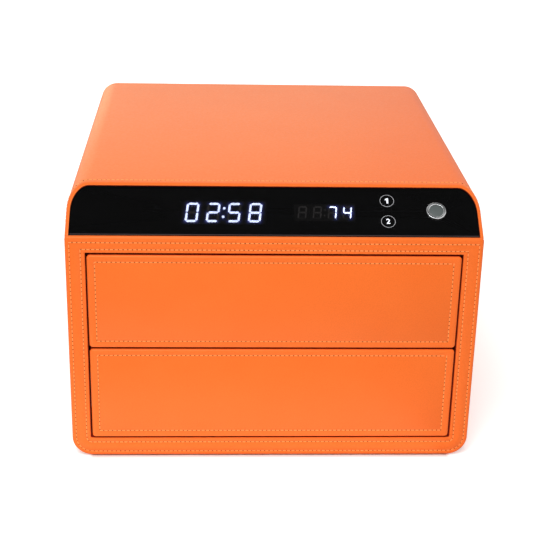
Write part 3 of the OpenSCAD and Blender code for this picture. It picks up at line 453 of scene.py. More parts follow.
def inset_to(piece, half, low, high):
    """Insets the selected upright face until it spans half a width either side, from low to high."""
    corners = [v.co for v in bmesh.from_edit_mesh(piece.data).verts if v.select]
    bpy.ops.mesh.inset(thickness=max(c.x for c in corners) - half * MM)
    heights = [v.co.z for v in bmesh.from_edit_mesh(piece.data).verts if v.select]
    bottom, stretch = min(heights), (high - low) * MM / (max(heights) - min(heights))
    bpy.ops.transform.resize(value=(1, 1, stretch), center_override=(0, 0, 0))
    bpy.ops.transform.translate(value=(0, 0, low * MM - bottom * stretch))


def press_groove(piece, half, low, high):
    """Presses a shallow groove into the selected face, with a stitched row as its middle line."""
    inset_to(piece, half + GROOVE, low - GROOVE, high + GROOVE)
    bpy.ops.mesh.inset(thickness=GROOVE * MM, depth=-GROOVE_DEEP * MM)
    bpy.ops.mesh.inset(thickness=GROOVE * MM, depth=GROOVE_DEEP * MM)


def sew_ring(name, body, face_y, half, low, high, r_low=1.0, r_high=1.0):
    """Sews a closed row with rounded corners into its groove in an upright face."""
    corners = ((-1, low + r_low, r_low, 180), (1, low + r_low, r_low, 270),
               (1, high - r_high, r_high, 0), (-1, high - r_high, r_high, 90))
    ring = []
    for side, z, radius, start in corners:
        ring += quarter(side * (half - radius), z, radius, start)
    for point in ring:
        point.y = face_y + THREAD_SUNK
    sew(name, even_steps(ring, STITCH_PITCH, True), lambda p: Vector((0, -1, 0)), body)


def square_corners(piece, y):
    """Merges the small arcs left at a face's upper corners, so that the next inset starts square."""
    for side in (-1, 1):
        pick(piece, "VERT", lambda v: abs(v.co.y - y * MM) < TOUCHING
             and HALF_W - CORNER_R - ARC_OUTSIDE < v.co.x * side / MM < HALF_W - FRAME_ROLL + ARC_INSIDE
             and SLOPE_Z - CORNER_R - ARC_OUTSIDE < v.co.z / MM < SLOPE_Z - FRAME_ROLL + ARC_INSIDE)
        bpy.ops.mesh.merge(type="CENTER")


def on_face(edge, y):
    """True if an edge lies in the upright front face at y."""
    return all(v.co.y < y * MM + TOUCHING for v in edge.verts)


def turns_back(edge):
    """True if one of an edge's faces runs to the rear."""
    return any(abs(f.normal.y) < 0.5 for f in edge.link_faces)


def close_up():
    """Turns all faces of a mesh outward and leaves edit mode."""
    bpy.ops.mesh.select_all(action="SELECT")
    bpy.ops.mesh.normals_make_consistent(inside=False)
    bpy.ops.object.mode_set(mode="OBJECT")


def bridge(piece):
    """Closes the strip between a mesh's two open edges."""
    pick(piece, "EDGE", lambda e: e.is_boundary)
    bpy.ops.mesh.bridge_edge_loops()


surround = new_box("frame_leather", (-HALF_W, FRAME_Y, LOW), (HALF_W, PLATE_Y, SLOPE_Z))
bpy.ops.object.mode_set(mode="EDIT")
for level_z, radius, steps in ((LOW, LONG_EDGE_R, 16), (SLOPE_Z, CORNER_R, 5)):
    pick(surround, "EDGE", lambda e: runs_along(e, 1) and abs(e.verts[0].co.x) > (HALF_W - NEAR) * MM
         and abs(e.verts[0].co.z - level_z * MM) < TOUCHING)
    round_edges(radius, steps)
pick(surround, "EDGE", lambda e: on_face(e, FRAME_Y))
round_edges(FRAME_ROLL, 5)
square_corners(surround, FRAME_Y)
pick(surround, "FACE", lambda f: f.normal.y < -0.99 and f.calc_area() > BROAD_FACE)
for half, low, high, *_ in FRAME_ROWS.values():
    press_groove(surround, half, low, high)
inset_to(surround, OPEN_HALF, OPEN_LOW, OPEN_HIGH)
bpy.ops.mesh.delete(type="FACE")
pick(surround, "FACE", lambda f: f.normal.y > 0.99)
bpy.ops.mesh.inset(thickness=FRAME_ROLL * MM)
square_corners(surround, PLATE_Y)
pick(surround, "FACE", lambda f: f.normal.y > 0.99 and f.calc_area() > BROAD_FACE)
inset_to(surround, OPEN_HALF, OPEN_LOW, OPEN_HIGH)
bpy.ops.mesh.delete(type="FACE")
bridge(surround)
pick(surround, "EDGE", lambda e: on_face(e, FRAME_Y) and turns_back(e)
     and all(abs(v.co.x) < (OPEN_HALF + NEAR) * MM for v in e.verts))
round_edges(INNER_SOFT, 3)
close_up()
smooth(surround, 50)
# The walls of the opening are coloured dark red: painted shade in the gaps round the drawers.
paint_gap_shade(surround, lambda c: abs(c.x) < OPEN_HALF + NEAR and OPEN_LOW - NEAR < c.z < OPEN_HIGH + NEAR)
hand_over(surround, None, "cabinet", "leather", "front_frame")
for name, row in FRAME_ROWS.items():
    sew_ring(name, "cabinet", FRAME_Y, *row)

# The frame's leather is turned into the opening and glued down behind its edge; the strip is coloured dark
# red all over, painted shade of the gaps.
TURN_IN, TURN_IN_R, TURN_IN_Y = 0.4, 1.0, -187.0
turn_in = new_box("frame_turn_in", (-OPEN_HALF, PLATE_Y, OPEN_LOW), (OPEN_HALF, TURN_IN_Y, OPEN_HIGH))
bpy.ops.object.mode_set(mode="EDIT")
pick(turn_in, "EDGE", lambda e: runs_along(e, 1))
round_edges(TURN_IN_R, 3)
for side in (-1, 1):
    pick(turn_in, "FACE", lambda f: f.normal.y * side > 0.99)
    bpy.ops.mesh.inset(thickness=TURN_IN * MM)
    bpy.ops.mesh.delete(type="FACE")
bridge(turn_in)
close_up()
smooth(turn_in)
hand_over(turn_in, gap_shade_leather, "cabinet", "leather")


# ---------------------------------------------------------------- drawer fronts
# Boards wrapped in the same leather, with rolled edges. A stitched line runs in
# a shallow groove round each face. There is no handle: a spring pushes them out.
FACE_Y, FRONT_BACK_Y, FRONT_HALF, FRONT_ROLL, ROW_HALF = -197.5, -183.5, 157.1, 2.0, 150.5
CORNER_GAP = 0.4  # points of a rolled corner that lie closer become one
# Lower and upper edge of each front, then lower and upper line of its stitches.
FRONTS = {"upper": (106.85, 191.4, 112.9, 185.3), "lower": (20.1, 105.25, 26.5, 99.5)}
for name, (low, high, row_low, row_high) in FRONTS.items():
    front = new_box(name + "_front_leather", (-FRONT_HALF, FACE_Y, low), (FRONT_HALF, FRONT_BACK_Y, high))
    bpy.ops.object.mode_set(mode="EDIT")
    pick(front, "FACE", lambda f: f.normal.y < -0.99)
    press_groove(front, ROW_HALF, row_low, row_high)
    pick(front, "EDGE", lambda e: runs_along(e, 1))
    round_edges(CORNER_R, 5)
    pick(front, "EDGE", lambda e: on_face(e, FACE_Y) and turns_back(e))
    round_edges(FRONT_ROLL, 4)
    pick(front, "VERT", lambda v: v.co.y < FACE_Y * MM + TOUCHING
         and abs(v.co.x) > (ROW_HALF + 2 * GROOVE) * MM)
    bpy.ops.mesh.remove_doubles(threshold=CORNER_GAP * MM)
    bpy.ops.object.mode_set(mode="OBJECT")
    smooth(front, 50)
    # The front's top, bottom and sides behind its roll are coloured dark red: painted shade in the gaps.
    paint_gap_shade(front, lambda c: c.y > FACE_Y + FRONT_ROLL)
    hand_over(front, None, name + "_drawer", "leather", name + "_drawer_front")
    sew_ring(name + "_front_stitches", name + "_drawer", FACE_Y, ROW_HALF, row_low, row_high)
bpy.data.objects.remove(stitch)


# ---------------------------------------------------------------- control glass
# One pane of smoked glass, 3 mm thick with ground edges, laid in the slope. It
# is bonded to a black plastic carrier that holds both displays and the reader.
# Moulded ABS, black: fine spark-eroded texture, 0.6 mm grit.
black_abs, place = material("moulded_black_abs", {"Roughness": 0.5, "IOR": 1.53})
grit = cloud(black_abs, place, 0.6, 3.0, "#101012", "#1b1b1e")
emboss(black_abs, grit, 0.3, 0.05)
dress(black_abs, "panel_carrier", "battery_box", "touch_pads")

# Smoked glass: polished, passes about a fiftieth of the light, so only lit parts
# show through it. Faint wiping marks, 30 mm wide, change its gloss a little.
smoked_glass, place = material("smoked_tempered_glass", {
    "Base Color": linear("#26272b"), "IOR": 1.5, "Transmission Weight": 1.0})
wiped = noise(smoked_glass, place, 30, 4.0)
feed(smoked_glass, "Roughness", ranged(smoked_glass, wiped, 0.015, 0.06, 0.4, 0.7))

# Ground lower chamfer: matt grey, 0.4 mm grit, printed black behind; lighter than the other edges as painted
# light, where the lower edge catches the light.
lower_edge_painted_light, place = material("ground_lower_edge_painted_light", {"Roughness": 0.6, "IOR": 1.5})
cloud(lower_edge_painted_light, place, 0.4, 2.0, "#33282a", "#423436")

# Other edges: matt black with 1 mm streaks and almost no gloss, painted shade that also hides their
# reflection.
edge_painted_shade, place = material("black_edges_painted_shade", {"Roughness": 0.9, "Specular IOR Level": 0.05})
cloud(edge_painted_shade, place, 1.0, 2.0, "#0a0909", "#121011")

GLASS_START, GLASS_TOP, GLASS_ARRIS, LOWER_CHAMFER, CHAMFER_END = 1.6, -0.6, 0.3, 0.55, 2.5
pane = copy_node("panel_glass", "glass_panel")
bpy.ops.object.mode_set(mode="EDIT")
bpy.ops.mesh.select_all(action="SELECT")
bpy.ops.mesh.bisect(
    plane_co=on_slope @ (Vector((0, GLASS_START + LOWER_CHAMFER, GLASS_TOP)) * MM),
    plane_no=on_slope.to_3x3() @ Vector((0, -1, 1)), use_fill=True, clear_outer=True)
bpy.ops.object.mode_set(mode="OBJECT")
soften(pane, GLASS_ARRIS, 1, 60)
pane.data.materials.clear()
for mat in (smoked_glass, lower_edge_painted_light, edge_painted_shade):
    pane.data.materials.append(mat)
for face in pane.data.polygons:
    face.use_smooth = False
    outward = face.normal.dot(slope_out)
    if abs(outward) < 0.999:
        on_chamfer = outward > 0.5 and (to_slope @ face.center).y < CHAMFER_END * MM
        # The ground lower chamfer takes the painted light, all other edges the painted shade.
        face.material_index = 1 if on_chamfer else 2
hand_over(pane, None, "cabinet", "glass", "glass_panel")


# ---------------------------------------------------------------- displays
# Two seven-segment modules behind the glass: black cast blocks with milky
# bars. The clock is lit all through; the small one shows two of four digits.
def lit_finish(name, base, rough, glow, lump, detail, dim, bright):
    """A finish that gives off light, a little unevenly."""
    mat, place = material(name, {
        "Base Color": linear(base), "Roughness": rough, "Emission Color": linear(glow)})
    uneven = noise(mat, place, lump, detail)
    feed(mat, "Emission Strength", ranged(mat, uneven, dim, bright, 0.3, 0.7))
    return mat


# Milky diffusers: each bar is brightest over its own lamp, 2.5 mm clouds.
# Bars that are off glow faintly, painted light; the lowest bars of the small display glow less, painted
# shade of its rim.
# Each kind of bar's tint, and its least and greatest strength.
BAR_GLOW = {"clock_lit": ("#e4ecff", 54.0, 70.0), "climate_lit": ("#e4ecff", 80.0, 105.0),
            "off_bar_painted_glow": ("#8c847a", 3.0, 4.6), "low_bar_painted_shade": ("#8c847a", 1.0, 1.5)}
bar_mats = {
    name: lit_finish(name + "_diffuser", "#4a4b50", 0.5, glow, 2.5, 1.0, dim, bright)
    for name, (glow, dim, bright) in BAR_GLOW.items()}

SEGMENTS = {"0": "abcdef", "2": "abged", "5": "afgcd", "8": "abcdefg", "7": "abc", "4": "fgbc", " ": ""}
# Digits shown, colon lit, middle across and up the slope, pitch, width, height, painted glow of the whole
# block.
DISPLAYS = {
    "clock": ("0258", True, -43.3, 25.4, 17.7, 10.75, 19.2, 0.0),
    "climate": ("  74", False, 42.2, 25.9, 12.7, 7.31, 12.6, 0.13)}
LEAN, COLON_OFF, FACE_CUTS = math.tan(math.radians(6)), 0.7, 60
# Painted glow round the lit bars: how far it reaches, its strongest light and its share of blue.
HALO_REACH, HALO_PEAK, HALO_BLUE = 0.85, 9.0, 0.06


def bar_name(x, v, w, h):
    """Letter of the bar whose middle lies at x, v from the middle of its digit."""
    if abs(x) < w / 4:
        return "a" if v > h / 4 else "d" if v < -h / 4 else "g"
    return ("b" if v > 0 else "c") if x > 0 else ("f" if v > 0 else "e")


def islands(mesh):
    """The separate bars of a mesh, each as a list of faces, in the mesh's own order."""
    left = set(mesh.faces)
    for first in mesh.faces:
        island, todo = [], [first] if first in left else []
        left -= set(todo)
        while todo:
            face = todo.pop()
            island.append(face)
            near = {f for e in face.edges for f in e.link_faces} & left
            left -= near
            todo += near
        if island:
            yield island


def distance(point, a, b):
    """Distance of a point from the line between two others."""
    part = max(0, min(1, (point - a).dot(b - a) / (b - a).length_squared))
    return (point - a.lerp(b, part)).length


for name, (shown, colon_lit, mid_x, mid_v, pitch, wide, tall, block_painted_glow) in DISPLAYS.items():
    bars = copy_node(name + "_digits", name + "_segments")
    bars.data.materials.clear()
    for mat in ("off_bar_painted_glow", name + "_lit", "low_bar_painted_shade"):
        bars.data.materials.append(bar_mats[mat])
    mesh = bmesh.new()
    mesh.from_mesh(bars.data)
    glowing = []
    for island in islands(mesh):
        points = sorted({p for f in island for p in f.verts}, key=lambda p: p.index)
        corners = [to_slope @ p.co / MM for p in points]
        x = (min(c.x for c in corners) + max(c.x for c in corners)) / 2 - mid_x
        v = (min(c.y for c in corners) + max(c.y for c in corners)) / 2 - mid_v
        x -= v * LEAN
        digit = min(3, max(0, round(x / pitch + 1.5)))
        x -= (digit - 1.5) * pitch
        colon = abs(x) > wide * COLON_OFF
        letter = ":" if colon else bar_name(x, v, wide, tall)
        lit = colon_lit if colon else letter in SEGMENTS[shown[digit]]
        for face in island:
            # Bars that are off take the painted glow, the lowest of the small display the painted shade.
            face.material_index = 1 if lit else 2 if letter == "d" and name == "climate" else 0
        if lit:
            ends = max(((a, b) for a in corners for b in corners), key=lambda p: (p[0].xy - p[1].xy).length)
            glowing.append((ends[0].xy, ends[1].xy))
    mesh.to_mesh(bars.data)
    mesh.free()
    hand_over(bars, None, "cabinet", "segments", name + "_segments")

    # Cast resin: black, slightly cloudy; a bluish glow round the lit bars and a faint even glow over the
    # small block are painted light, given off by the resin.
    cast_resin, place = material(name + "_black_cast_resin", {"Roughness": 0.35, "IOR": 1.5})
    cloud(cast_resin, place, 3, 2.0, "#121315", "#1c1d20")
    painted_halo = add(cast_resin, "ShaderNodeAttribute", {"attribute_name": "painted_halo"}).outputs["Fac"]
    blue_part = ranged(cast_resin, painted_halo, 0.0, 1.0, 0.0, HALO_BLUE)
    feed(cast_resin, "Emission Color", blend(cast_resin, blue_part, "#fff0e0", "#929cff"))
    feed(cast_resin, "Emission Strength", ranged(cast_resin, painted_halo, block_painted_glow, HALO_PEAK))
    block = copy_node(name + "_block", name + "_display")
    bpy.ops.object.mode_set(mode="EDIT")
    pick(block, "FACE", lambda f: f.normal.dot(slope_out) > 0.99)
    bpy.ops.mesh.subdivide(number_cuts=FACE_CUTS)
    bpy.ops.object.mode_set(mode="OBJECT")
    # The painted glow at each point of the face falls off with its distance from the lit bars.
    spread = block.data.attributes.new("painted_halo", "FLOAT", "POINT")
    for point, value in zip(block.data.vertices, spread.data):
        flat = (to_slope @ point.co / MM).xy
        value.value = min(1.0, sum(math.exp(-distance(flat, a, b) / HALO_REACH) for a, b in glowing))
    hand_over(block, cast_resin, "cabinet", "black_plastic", name + "_display")


# ---------------------------------------------------------------- touch keys
# Two keys are only printed on the back of the glass: a thin ring with a bold
# numeral, lit from the pad behind. They are screen-printed in white ink.
KEY_X, KEY_TOP_V, KEY_LOW_V, RING_R, RING_LINE = 95.6, 38.1, 17.1, 5.9, 0.18
PRINT_N, FILM = -3.5, 0.04
STEM_WIDE, STEM_X, FIGURE_HIGH, FLAG, FLAG_RISE = 1.5, 0.4, 5.2, 1.3, 0.75
FLAG_LOW, FLAG_UPPER = 0.24, 0.2  # shares of the figure's height
TYPE_SIZE, TYPE_BOLD = 6.9, 0.15
# Screen ink: slightly uneven film, 1.5 mm clouds, lit through from behind.
ring_ink = lit_finish("grey_ring_ink", "#d8d6d2", 0.6, "#d8d6d2", 1.5, 2.0, 4.6, 6.2)
numeral_ink = lit_finish("backlit_white_ink", "#ffffff", 0.6, "#ffffff", 1.5, 2.0, 8.0, 10.0)


def lay_film():
    """Gives a flat print the thickness of its ink."""
    bpy.ops.mesh.select_all(action="SELECT")
    bpy.ops.mesh.extrude_region_move(TRANSFORM_OT_translate={"value": (0, 0, FILM * MM)})
    close_up()


for numeral, v in (("1", KEY_TOP_V), ("2", KEY_LOW_V)):
    bpy.ops.mesh.primitive_circle_add(vertices=64, radius=(RING_R + RING_LINE) * MM, fill_type="NGON")
    ring = bpy.context.object
    ring.name = "key_ring_" + numeral
    bpy.ops.object.mode_set(mode="EDIT")
    bpy.ops.mesh.inset(thickness=2 * RING_LINE * MM)
    bpy.ops.mesh.delete(type="FACE")
    lay_film()
    if numeral == "1":
        # A plain stem whose upper left side is drawn out into the flag.
        bpy.ops.mesh.primitive_plane_add(size=1)
        figure = bpy.context.object
        bpy.ops.object.mode_set(mode="EDIT")
        bpy.ops.transform.resize(value=(STEM_WIDE * MM, FIGURE_HIGH * MM, 1))
        bpy.ops.transform.translate(value=(STEM_X * MM, 0, 0))
        bpy.ops.mesh.bisect(plane_co=(0, FIGURE_HIGH * FLAG_LOW * MM, 0), plane_no=(0, 1, 0))
        pick(figure, "EDGE", lambda e: all(
            p.co.x < 0 and p.co.y > FIGURE_HIGH * FLAG_UPPER * MM for p in e.verts))
        bpy.ops.mesh.extrude_edges_move(
            TRANSFORM_OT_translate={"value": (-FLAG * MM, -FLAG * FLAG_RISE * MM, 0)})
        lay_film()
    else:
        bpy.ops.object.text_add()
        figure = bpy.context.object
        figure.data.body = numeral
        figure.data.align_x = "CENTER"
        figure.data.align_y = "CENTER"
        figure.data.size = TYPE_SIZE * MM
        figure.data.offset = TYPE_BOLD * MM
        figure.data.extrude = FILM / 2 * MM
        bpy.ops.object.convert(target="MESH")
    figure.name = "key_numeral_" + numeral
    for piece, mat in ((ring, ring_ink), (figure, numeral_ink)):
        alone(piece)
        piece.matrix_world = on_slope @ Matrix.Translation(Vector((KEY_X, v, PRINT_N)) * MM)
        settle()
        hand_over(piece, mat, "cabinet", "segments")


# ---------------------------------------------------------------- fingerprint reader
# Turned ring of satin-chromed brass with a threaded barrel, and a round sensor
# window of grey hard-coated plastic in it. A nut behind the carrier holds it.
def soft_copy(name, node, mat, body, slot, width, steps, sharp=50, shade=35, angle=FLAT_MERGE):
    """A CAD node's own shape with its edges softened, finished and handed over."""
    piece = copy_node(name, node, angle)
    soften(piece, width, steps, sharp)
    smooth(piece, shade)
    hand_over(piece, mat, body, slot, node)


# Turned chrome: two bright wedges across the ring, one opposite the other, are
# painted highlights in its colour; 0.5 mm noise in the gloss.
hub = sum((Vector(corner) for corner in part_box("fingerprint_bezel")), Vector()) / 2
chrome_painted_glints, place = material("chrome_painted_glints", {"Metallic": 1.0})
about_hub = add(chrome_painted_glints, "ShaderNodeMapping", {
    "vector_type": "TEXTURE", "Location": hub, "Rotation": (SLOPE, 0, 0)}, {"Vector": place})
angle = add(chrome_painted_glints, "ShaderNodeTexGradient", {"gradient_type": "RADIAL"},
            {"Vector": about_hub.outputs[0]})
two_turns = add(chrome_painted_glints, "ShaderNodeMath", {"operation": "MULTIPLY", 1: -4 * math.pi},
                {0: angle.outputs["Fac"]})
painted_glint = add(chrome_painted_glints, "ShaderNodeMath", {"operation": "SINE"}, {0: two_turns.outputs[0]}).outputs[0]
painted_glint_part = ranged(chrome_painted_glints, painted_glint, 0.0, 1.0, -0.6, 1.0)
feed(chrome_painted_glints, "Base Color", blend(chrome_painted_glints, painted_glint_part, "#a3a5a6", "#f6f7f8"))
lathe = noise(chrome_painted_glints, place, 0.5, 2.0)
feed(chrome_painted_glints, "Roughness", ranged(chrome_painted_glints, lathe, 0.18, 0.3))
TURNED = {"sharp": 40, "shade": 30, "angle": ROUND_MERGE}
soft_copy("reader_ring", "fingerprint_bezel", chrome_painted_glints, "cabinet", "ring", 0.9, 5, **TURNED)

# Sensor window: hard-coated grey, very fine speckle under a smooth face.
sensor_coat, place = material("hard_coated_sensor", {"Roughness": 0.38, "IOR": 1.5})
cloud(sensor_coat, place, 0.35, 1.0, "#484f4e", "#585f5e")
soft_copy("reader_window", "fingerprint_sensor", sensor_coat, "cabinet", "sensor", 0.4, 3, **TURNED)


# ---------------------------------------------------------------- electronics
# Two circuit boards: the touch board behind the panel and the main board on
# four brass pillars. Four round cells lie in a plastic box behind the cover.
# Solder mask: green film over copper lines, about 1.2 mm apart.
solder_mask, place = material("green_solder_mask", {"Roughness": 0.35, "IOR": 1.5})
tracks = add(solder_mask, "ShaderNodeTexBrick", {
    "Scale": 1 / (6 * MM), "Mortar Size": 0.04, "Color1": linear("#1d5a39"), "Color2": linear("#1a4f34"),
    "Mortar": linear("#3a7d4f")}, {"Vector": place})
feed(solder_mask, "Base Color", tracks.outputs["Color"])
emboss(solder_mask, tracks.outputs["Fac"], 0.3, 0.05)
dress(solder_mask, "touch_board", "main_board")

# Machined brass: warm, with turning marks 0.4 mm apart.
turned_brass, place = material("turned_brass", {"Metallic": 1.0})
marks = cloud(turned_brass, place, 0.4, 2.0, "#b3934a", "#c8a95f")
feed(turned_brass, "Roughness", ranged(turned_brass, marks, 0.22, 0.4))
dress(turned_brass, "board_standoffs", "upper_lock_pinion", "lower_lock_pinion", "override_plug")

# Shrink sleeve on the cells: glossy blue film with a faint ripple.
cell_sleeve, place = material("blue_shrink_sleeve", {"Roughness": 0.28, "IOR": 1.5})
cloud(cell_sleeve, place, 5, 2.0, "#2f5f96", "#3f76b4")
dress(cell_sleeve, "battery_cells")


# ---------------------------------------------------------------- locks and runners
# Zinc-plated sheet and bar: lock cases, bolts, keepers, cam, pins, springs,
# screws and the telescopic runners. Drawn bright, with brush lines along it.
# Zinc plate: brush lines 0.9 mm apart, drawn out along the depth of the box.
zinc, place = material("bright_zinc_plate", {"Metallic": 1.0})
drawn = add(zinc, "ShaderNodeMapping", {"Scale": (1.0, 0.06, 1.0)}, {"Vector": place})
brush = cloud(zinc, drawn.outputs[0], 0.9, 3.0, "#b4b8bc", "#cdd0d3")
feed(zinc, "Roughness", ranged(zinc, brush, 0.26, 0.42))
dress(zinc, "override_cam", "ejector_pins", "lock_screws", "fingerprint_nut",
      "drawer_front_screws_upper", "drawer_front_screws_lower",
      *(side + part for side in ("upper", "lower") for part in (
          "_lock_case", "_lock_bolt", "_keeper", "_outer_rails", "_middle_rails", "_inner_rails")))

# Motor cans: drawn steel with a thin yellow chromate, slightly uneven.
chromate, place = material("yellow_chromate_steel", {"Metallic": 1.0, "Roughness": 0.35})
cloud(chromate, place, 4, 3.0, "#b7a878", "#cdbf92")
dress(chromate, "upper_lock_motor", "lower_lock_motor")

# The ejector springs are wound from 1.2 mm wire; the coil is swept smooth here.
SPRING_R, WIRE_R, SPRING_TURNS, REAR_PLATE_Y, SPRING_LONG = 4.5, 0.6, 7, 191.5, 35.7
WIRE_SIDES, TURN_STEPS = 10, 28
SPRINGS = {"upper": -85.0, "lower": 85.0}
for name, x in SPRINGS.items():
    low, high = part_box(name + "_ejector_spring")
    bpy.ops.mesh.primitive_circle_add(
        vertices=WIRE_SIDES, radius=WIRE_R * MM, location=(SPRING_R * MM, 0, WIRE_R * MM),
        rotation=(math.pi / 2, 0, 0))
    spring = bpy.context.object
    settle()
    spring.name = name + "_spring_coil"
    modify(spring, "SCREW", angle=2 * math.pi, steps=TURN_STEPS, render_steps=TURN_STEPS, axis="Z",
           iterations=SPRING_TURNS, screw_offset=(SPRING_LONG - 2 * WIRE_R) / SPRING_TURNS * MM)
    bpy.ops.object.mode_set(mode="EDIT")
    bpy.ops.mesh.select_all(action="SELECT")
    bpy.ops.mesh.remove_doubles(threshold=WELD * MM)
    pick(spring, "EDGE", lambda e: e.is_boundary)
    bpy.ops.mesh.edge_face_add()
    close_up()
    middle_z = (low[2] + high[2]) / 2
    spring.matrix_world = (
        Matrix.Translation((x * MM, REAR_PLATE_Y * MM, middle_z)) @ Matrix.Rotation(math.pi / 2, 4, "X"))
    settle()
    smooth(spring, 40)
    hand_over(spring, zinc, "cabinet", "bright_steel", name + "_ejector_spring")


# ---------------------------------------------------------------- drawer boxes
# Trays of thin board covered in dark paper, with soft suede boards glued in as
# floor, walls and dividers. Their edges are rounded by the cloth laid over them.
# Paper-covered board: matt and dark, with 1.2 mm fibres.
dark_board, place = material("paper_covered_board", {"Roughness": 0.6, "IOR": 1.5})
fibre = cloud(dark_board, place, 1.2, 4.0, "#241c18", "#33291f")
emboss(dark_board, fibre, 0.3, 0.05)

# Microfibre suede: matt nap that brightens at the rim, brushed patches 12 mm wide.
suede, place = material("beige_microfibre_suede", {
    "Roughness": 0.9, "Sheen Weight": 0.35, "Sheen Roughness": 0.4, "IOR": 1.45})
nap = noise(suede, place, 0.8, 4.0)
brushed = blend(suede, noise(suede, place, 12, 3.0), "#bfa686", "#d6c2a6")
nap_shade = ranged(suede, nap, 0.3, 0.0, 0.35, 0.65)
feed(suede, "Base Color", blend(suede, nap_shade, brushed, "#a58a68"))
emboss(suede, nap, 0.5, 0.12)
for name in ("upper", "lower"):
    for part, mat, slot, soft in (("tray", dark_board, "tray", 0.6), ("lining", suede, "suede", 0.7)):
        soft_copy(f"{name}_{part}_box", f"{name}_drawer_{part}", mat, name + "_drawer", slot,
                  soft, 3, shade=40)


# ---------------------------------------------------------------- rear side
# Leather-covered rear board held by four screws. It carries the key lock for
# emergencies, the power inlet and the cover of the battery box.
soft_copy("rear_board_leather", "back_cover", leather, "cabinet", "leather", 0.7, 3)
soft_copy("battery_cover_moulding", "battery_cover", black_abs, "battery_door", "black_plastic", 0.4, 2)

# Satin chrome on the lock: bright, with the fine 0.5 mm marks left by turning.
satin_chrome, place = material("satin_chrome_turned", {"Base Color": linear("#d9dbde"), "Metallic": 1.0})
satin_mark = noise(satin_chrome, place, 0.5, 2.0)
feed(satin_chrome, "Roughness", ranged(satin_chrome, satin_mark, 0.26, 0.4))
soft_copy("key_lock_barrel", "override_cylinder", satin_chrome, "cabinet", "ring", 0.3, 3, **TURNED)
soft_copy("power_inlet_socket", "dc_inlet", black_abs, "cabinet", "black_plastic", 0.25, 2,
          shade=30, angle=ROUND_MERGE)

# Pan-head screws with a cross recess, modelled once and set at the four corners.
SCREW_X, SCREW_LOW_Z, SCREW_HIGH_Z = 149.5, 26.5, 214.3
SCREW_R, SHANK_R, HEAD_HIGH, HEAD_SOFT = 3.6, 2.0, 0.9, 0.5
HEAD_Y, BOARD_Y, SCREW_TURN = 197.4, 193.5, 0.3
RECESS_LONG, RECESS_WIDE, RECESS_DEEP, RECESS_OVER = 2.1, 0.5, 0.6, 1.0
bpy.ops.mesh.primitive_cylinder_add(
    vertices=32, radius=SCREW_R * MM, depth=HEAD_HIGH * MM, location=(0, (HEAD_Y - HEAD_HIGH / 2) * MM, 0),
    rotation=(-math.pi / 2, 0, 0))
screw = bpy.context.object
settle()
bpy.ops.object.mode_set(mode="EDIT")
pick(screw, "FACE", lambda f: f.normal.y < -0.9)
bpy.ops.mesh.inset(thickness=(SCREW_R - SHANK_R) * MM)
bpy.ops.mesh.extrude_region_move(
    TRANSFORM_OT_translate={"value": (0, (BOARD_Y - HEAD_Y + HEAD_HIGH) * MM, 0)})
pick(screw, "EDGE", lambda e: all(v.co.y > (HEAD_Y - NEAR / 2) * MM for v in e.verts))
round_edges(HEAD_SOFT, 3)
bpy.ops.object.mode_set(mode="OBJECT")
for wide, tall in ((RECESS_LONG, RECESS_WIDE), (RECESS_WIDE, RECESS_LONG)):
    blade = new_box("recess", (-wide, HEAD_Y - RECESS_DEEP, -tall), (wide, HEAD_Y + RECESS_OVER, tall))
    modify(screw, "BOOLEAN", operation="DIFFERENCE", solver="EXACT", object=blade)
    bpy.data.objects.remove(blade)
smooth(screw, 30)
screws = []
for x in (-SCREW_X, SCREW_X):
    for z in (SCREW_LOW_Z, SCREW_HIGH_Z):
        one = new_object("rear_board_screws", screw.data.copy())
        turned = Matrix.Rotation(SCREW_TURN + x * z, 4, "Y")
        one.matrix_world = Matrix.Translation((x * MM, 0, z * MM)) @ turned
        screws.append(one)
bpy.data.objects.remove(screw)
merge(screws)
hand_over(screws[0], zinc, "cabinet", "bright_steel", "back_cover_screws")


# ---------------------------------------------------------------- feet
# Four flat discs of black rubber glued under the base. Pressed from sheet, so
# the edge is square with a small chamfer and the surface is matt.
# Rubber: matt black with a grey bloom in 1 mm clouds.
rubber, place = material("pressed_black_rubber", {"Roughness": 0.8, "IOR": 1.52})
cloud(rubber, place, 1.0, 3.0, "#141415", "#242426")
soft_copy("rubber_foot_discs", "rubber_feet", rubber, "cabinet", "rubber", 0.4, 2, **TURNED)


# ---------------------------------------------------------------- studio
# White floor and white surroundings, with soft boxes over and beside the box.
# Seen directly the surroundings are plain white; the floor keeps the shadow.
scene.view_settings.view_transform = "Standard"
FLOOR_SIZE, SHADE_SOFT, REAR_INSIDE = 16, 3.0, 0.5
LIFT_NEAR, LIFT_FAR, NEAR_BY, FAR_OFF = 0.45, 0.72, 0.6, 2.4  # glow of the paper, and how far off
bpy.ops.mesh.primitive_plane_add(size=FLOOR_SIZE)
floor = bpy.context.object
floor.name = "studio_floor"
# Paper sweep: matt white that also glows a little where the camera sees it. Its
# own white is left out under the box, so that the contact line there stays dark.
sweep = bpy.data.materials.new("white_paper_sweep")
sweep.use_nodes = True
sweep.node_tree.nodes.clear()
spot = add(sweep, "ShaderNodeTexCoord").outputs["Object"]
split = add(sweep, "ShaderNodeSeparateXYZ", (), {0: spot})
outside = []
for axis, reach in (("X", HALF_W - LONG_EDGE_R), ("Y", REAR - REAR_INSIDE)):
    size = add(sweep, "ShaderNodeMath", {"operation": "ABSOLUTE"}, {0: split.outputs[axis]})
    outside.append(ranged(sweep, size.outputs[0], 0.0, 1.0, reach * MM, (reach + SHADE_SOFT) * MM))
open_floor = add(sweep, "ShaderNodeMath", {"operation": "MAXIMUM"}, dict(enumerate(outside)))
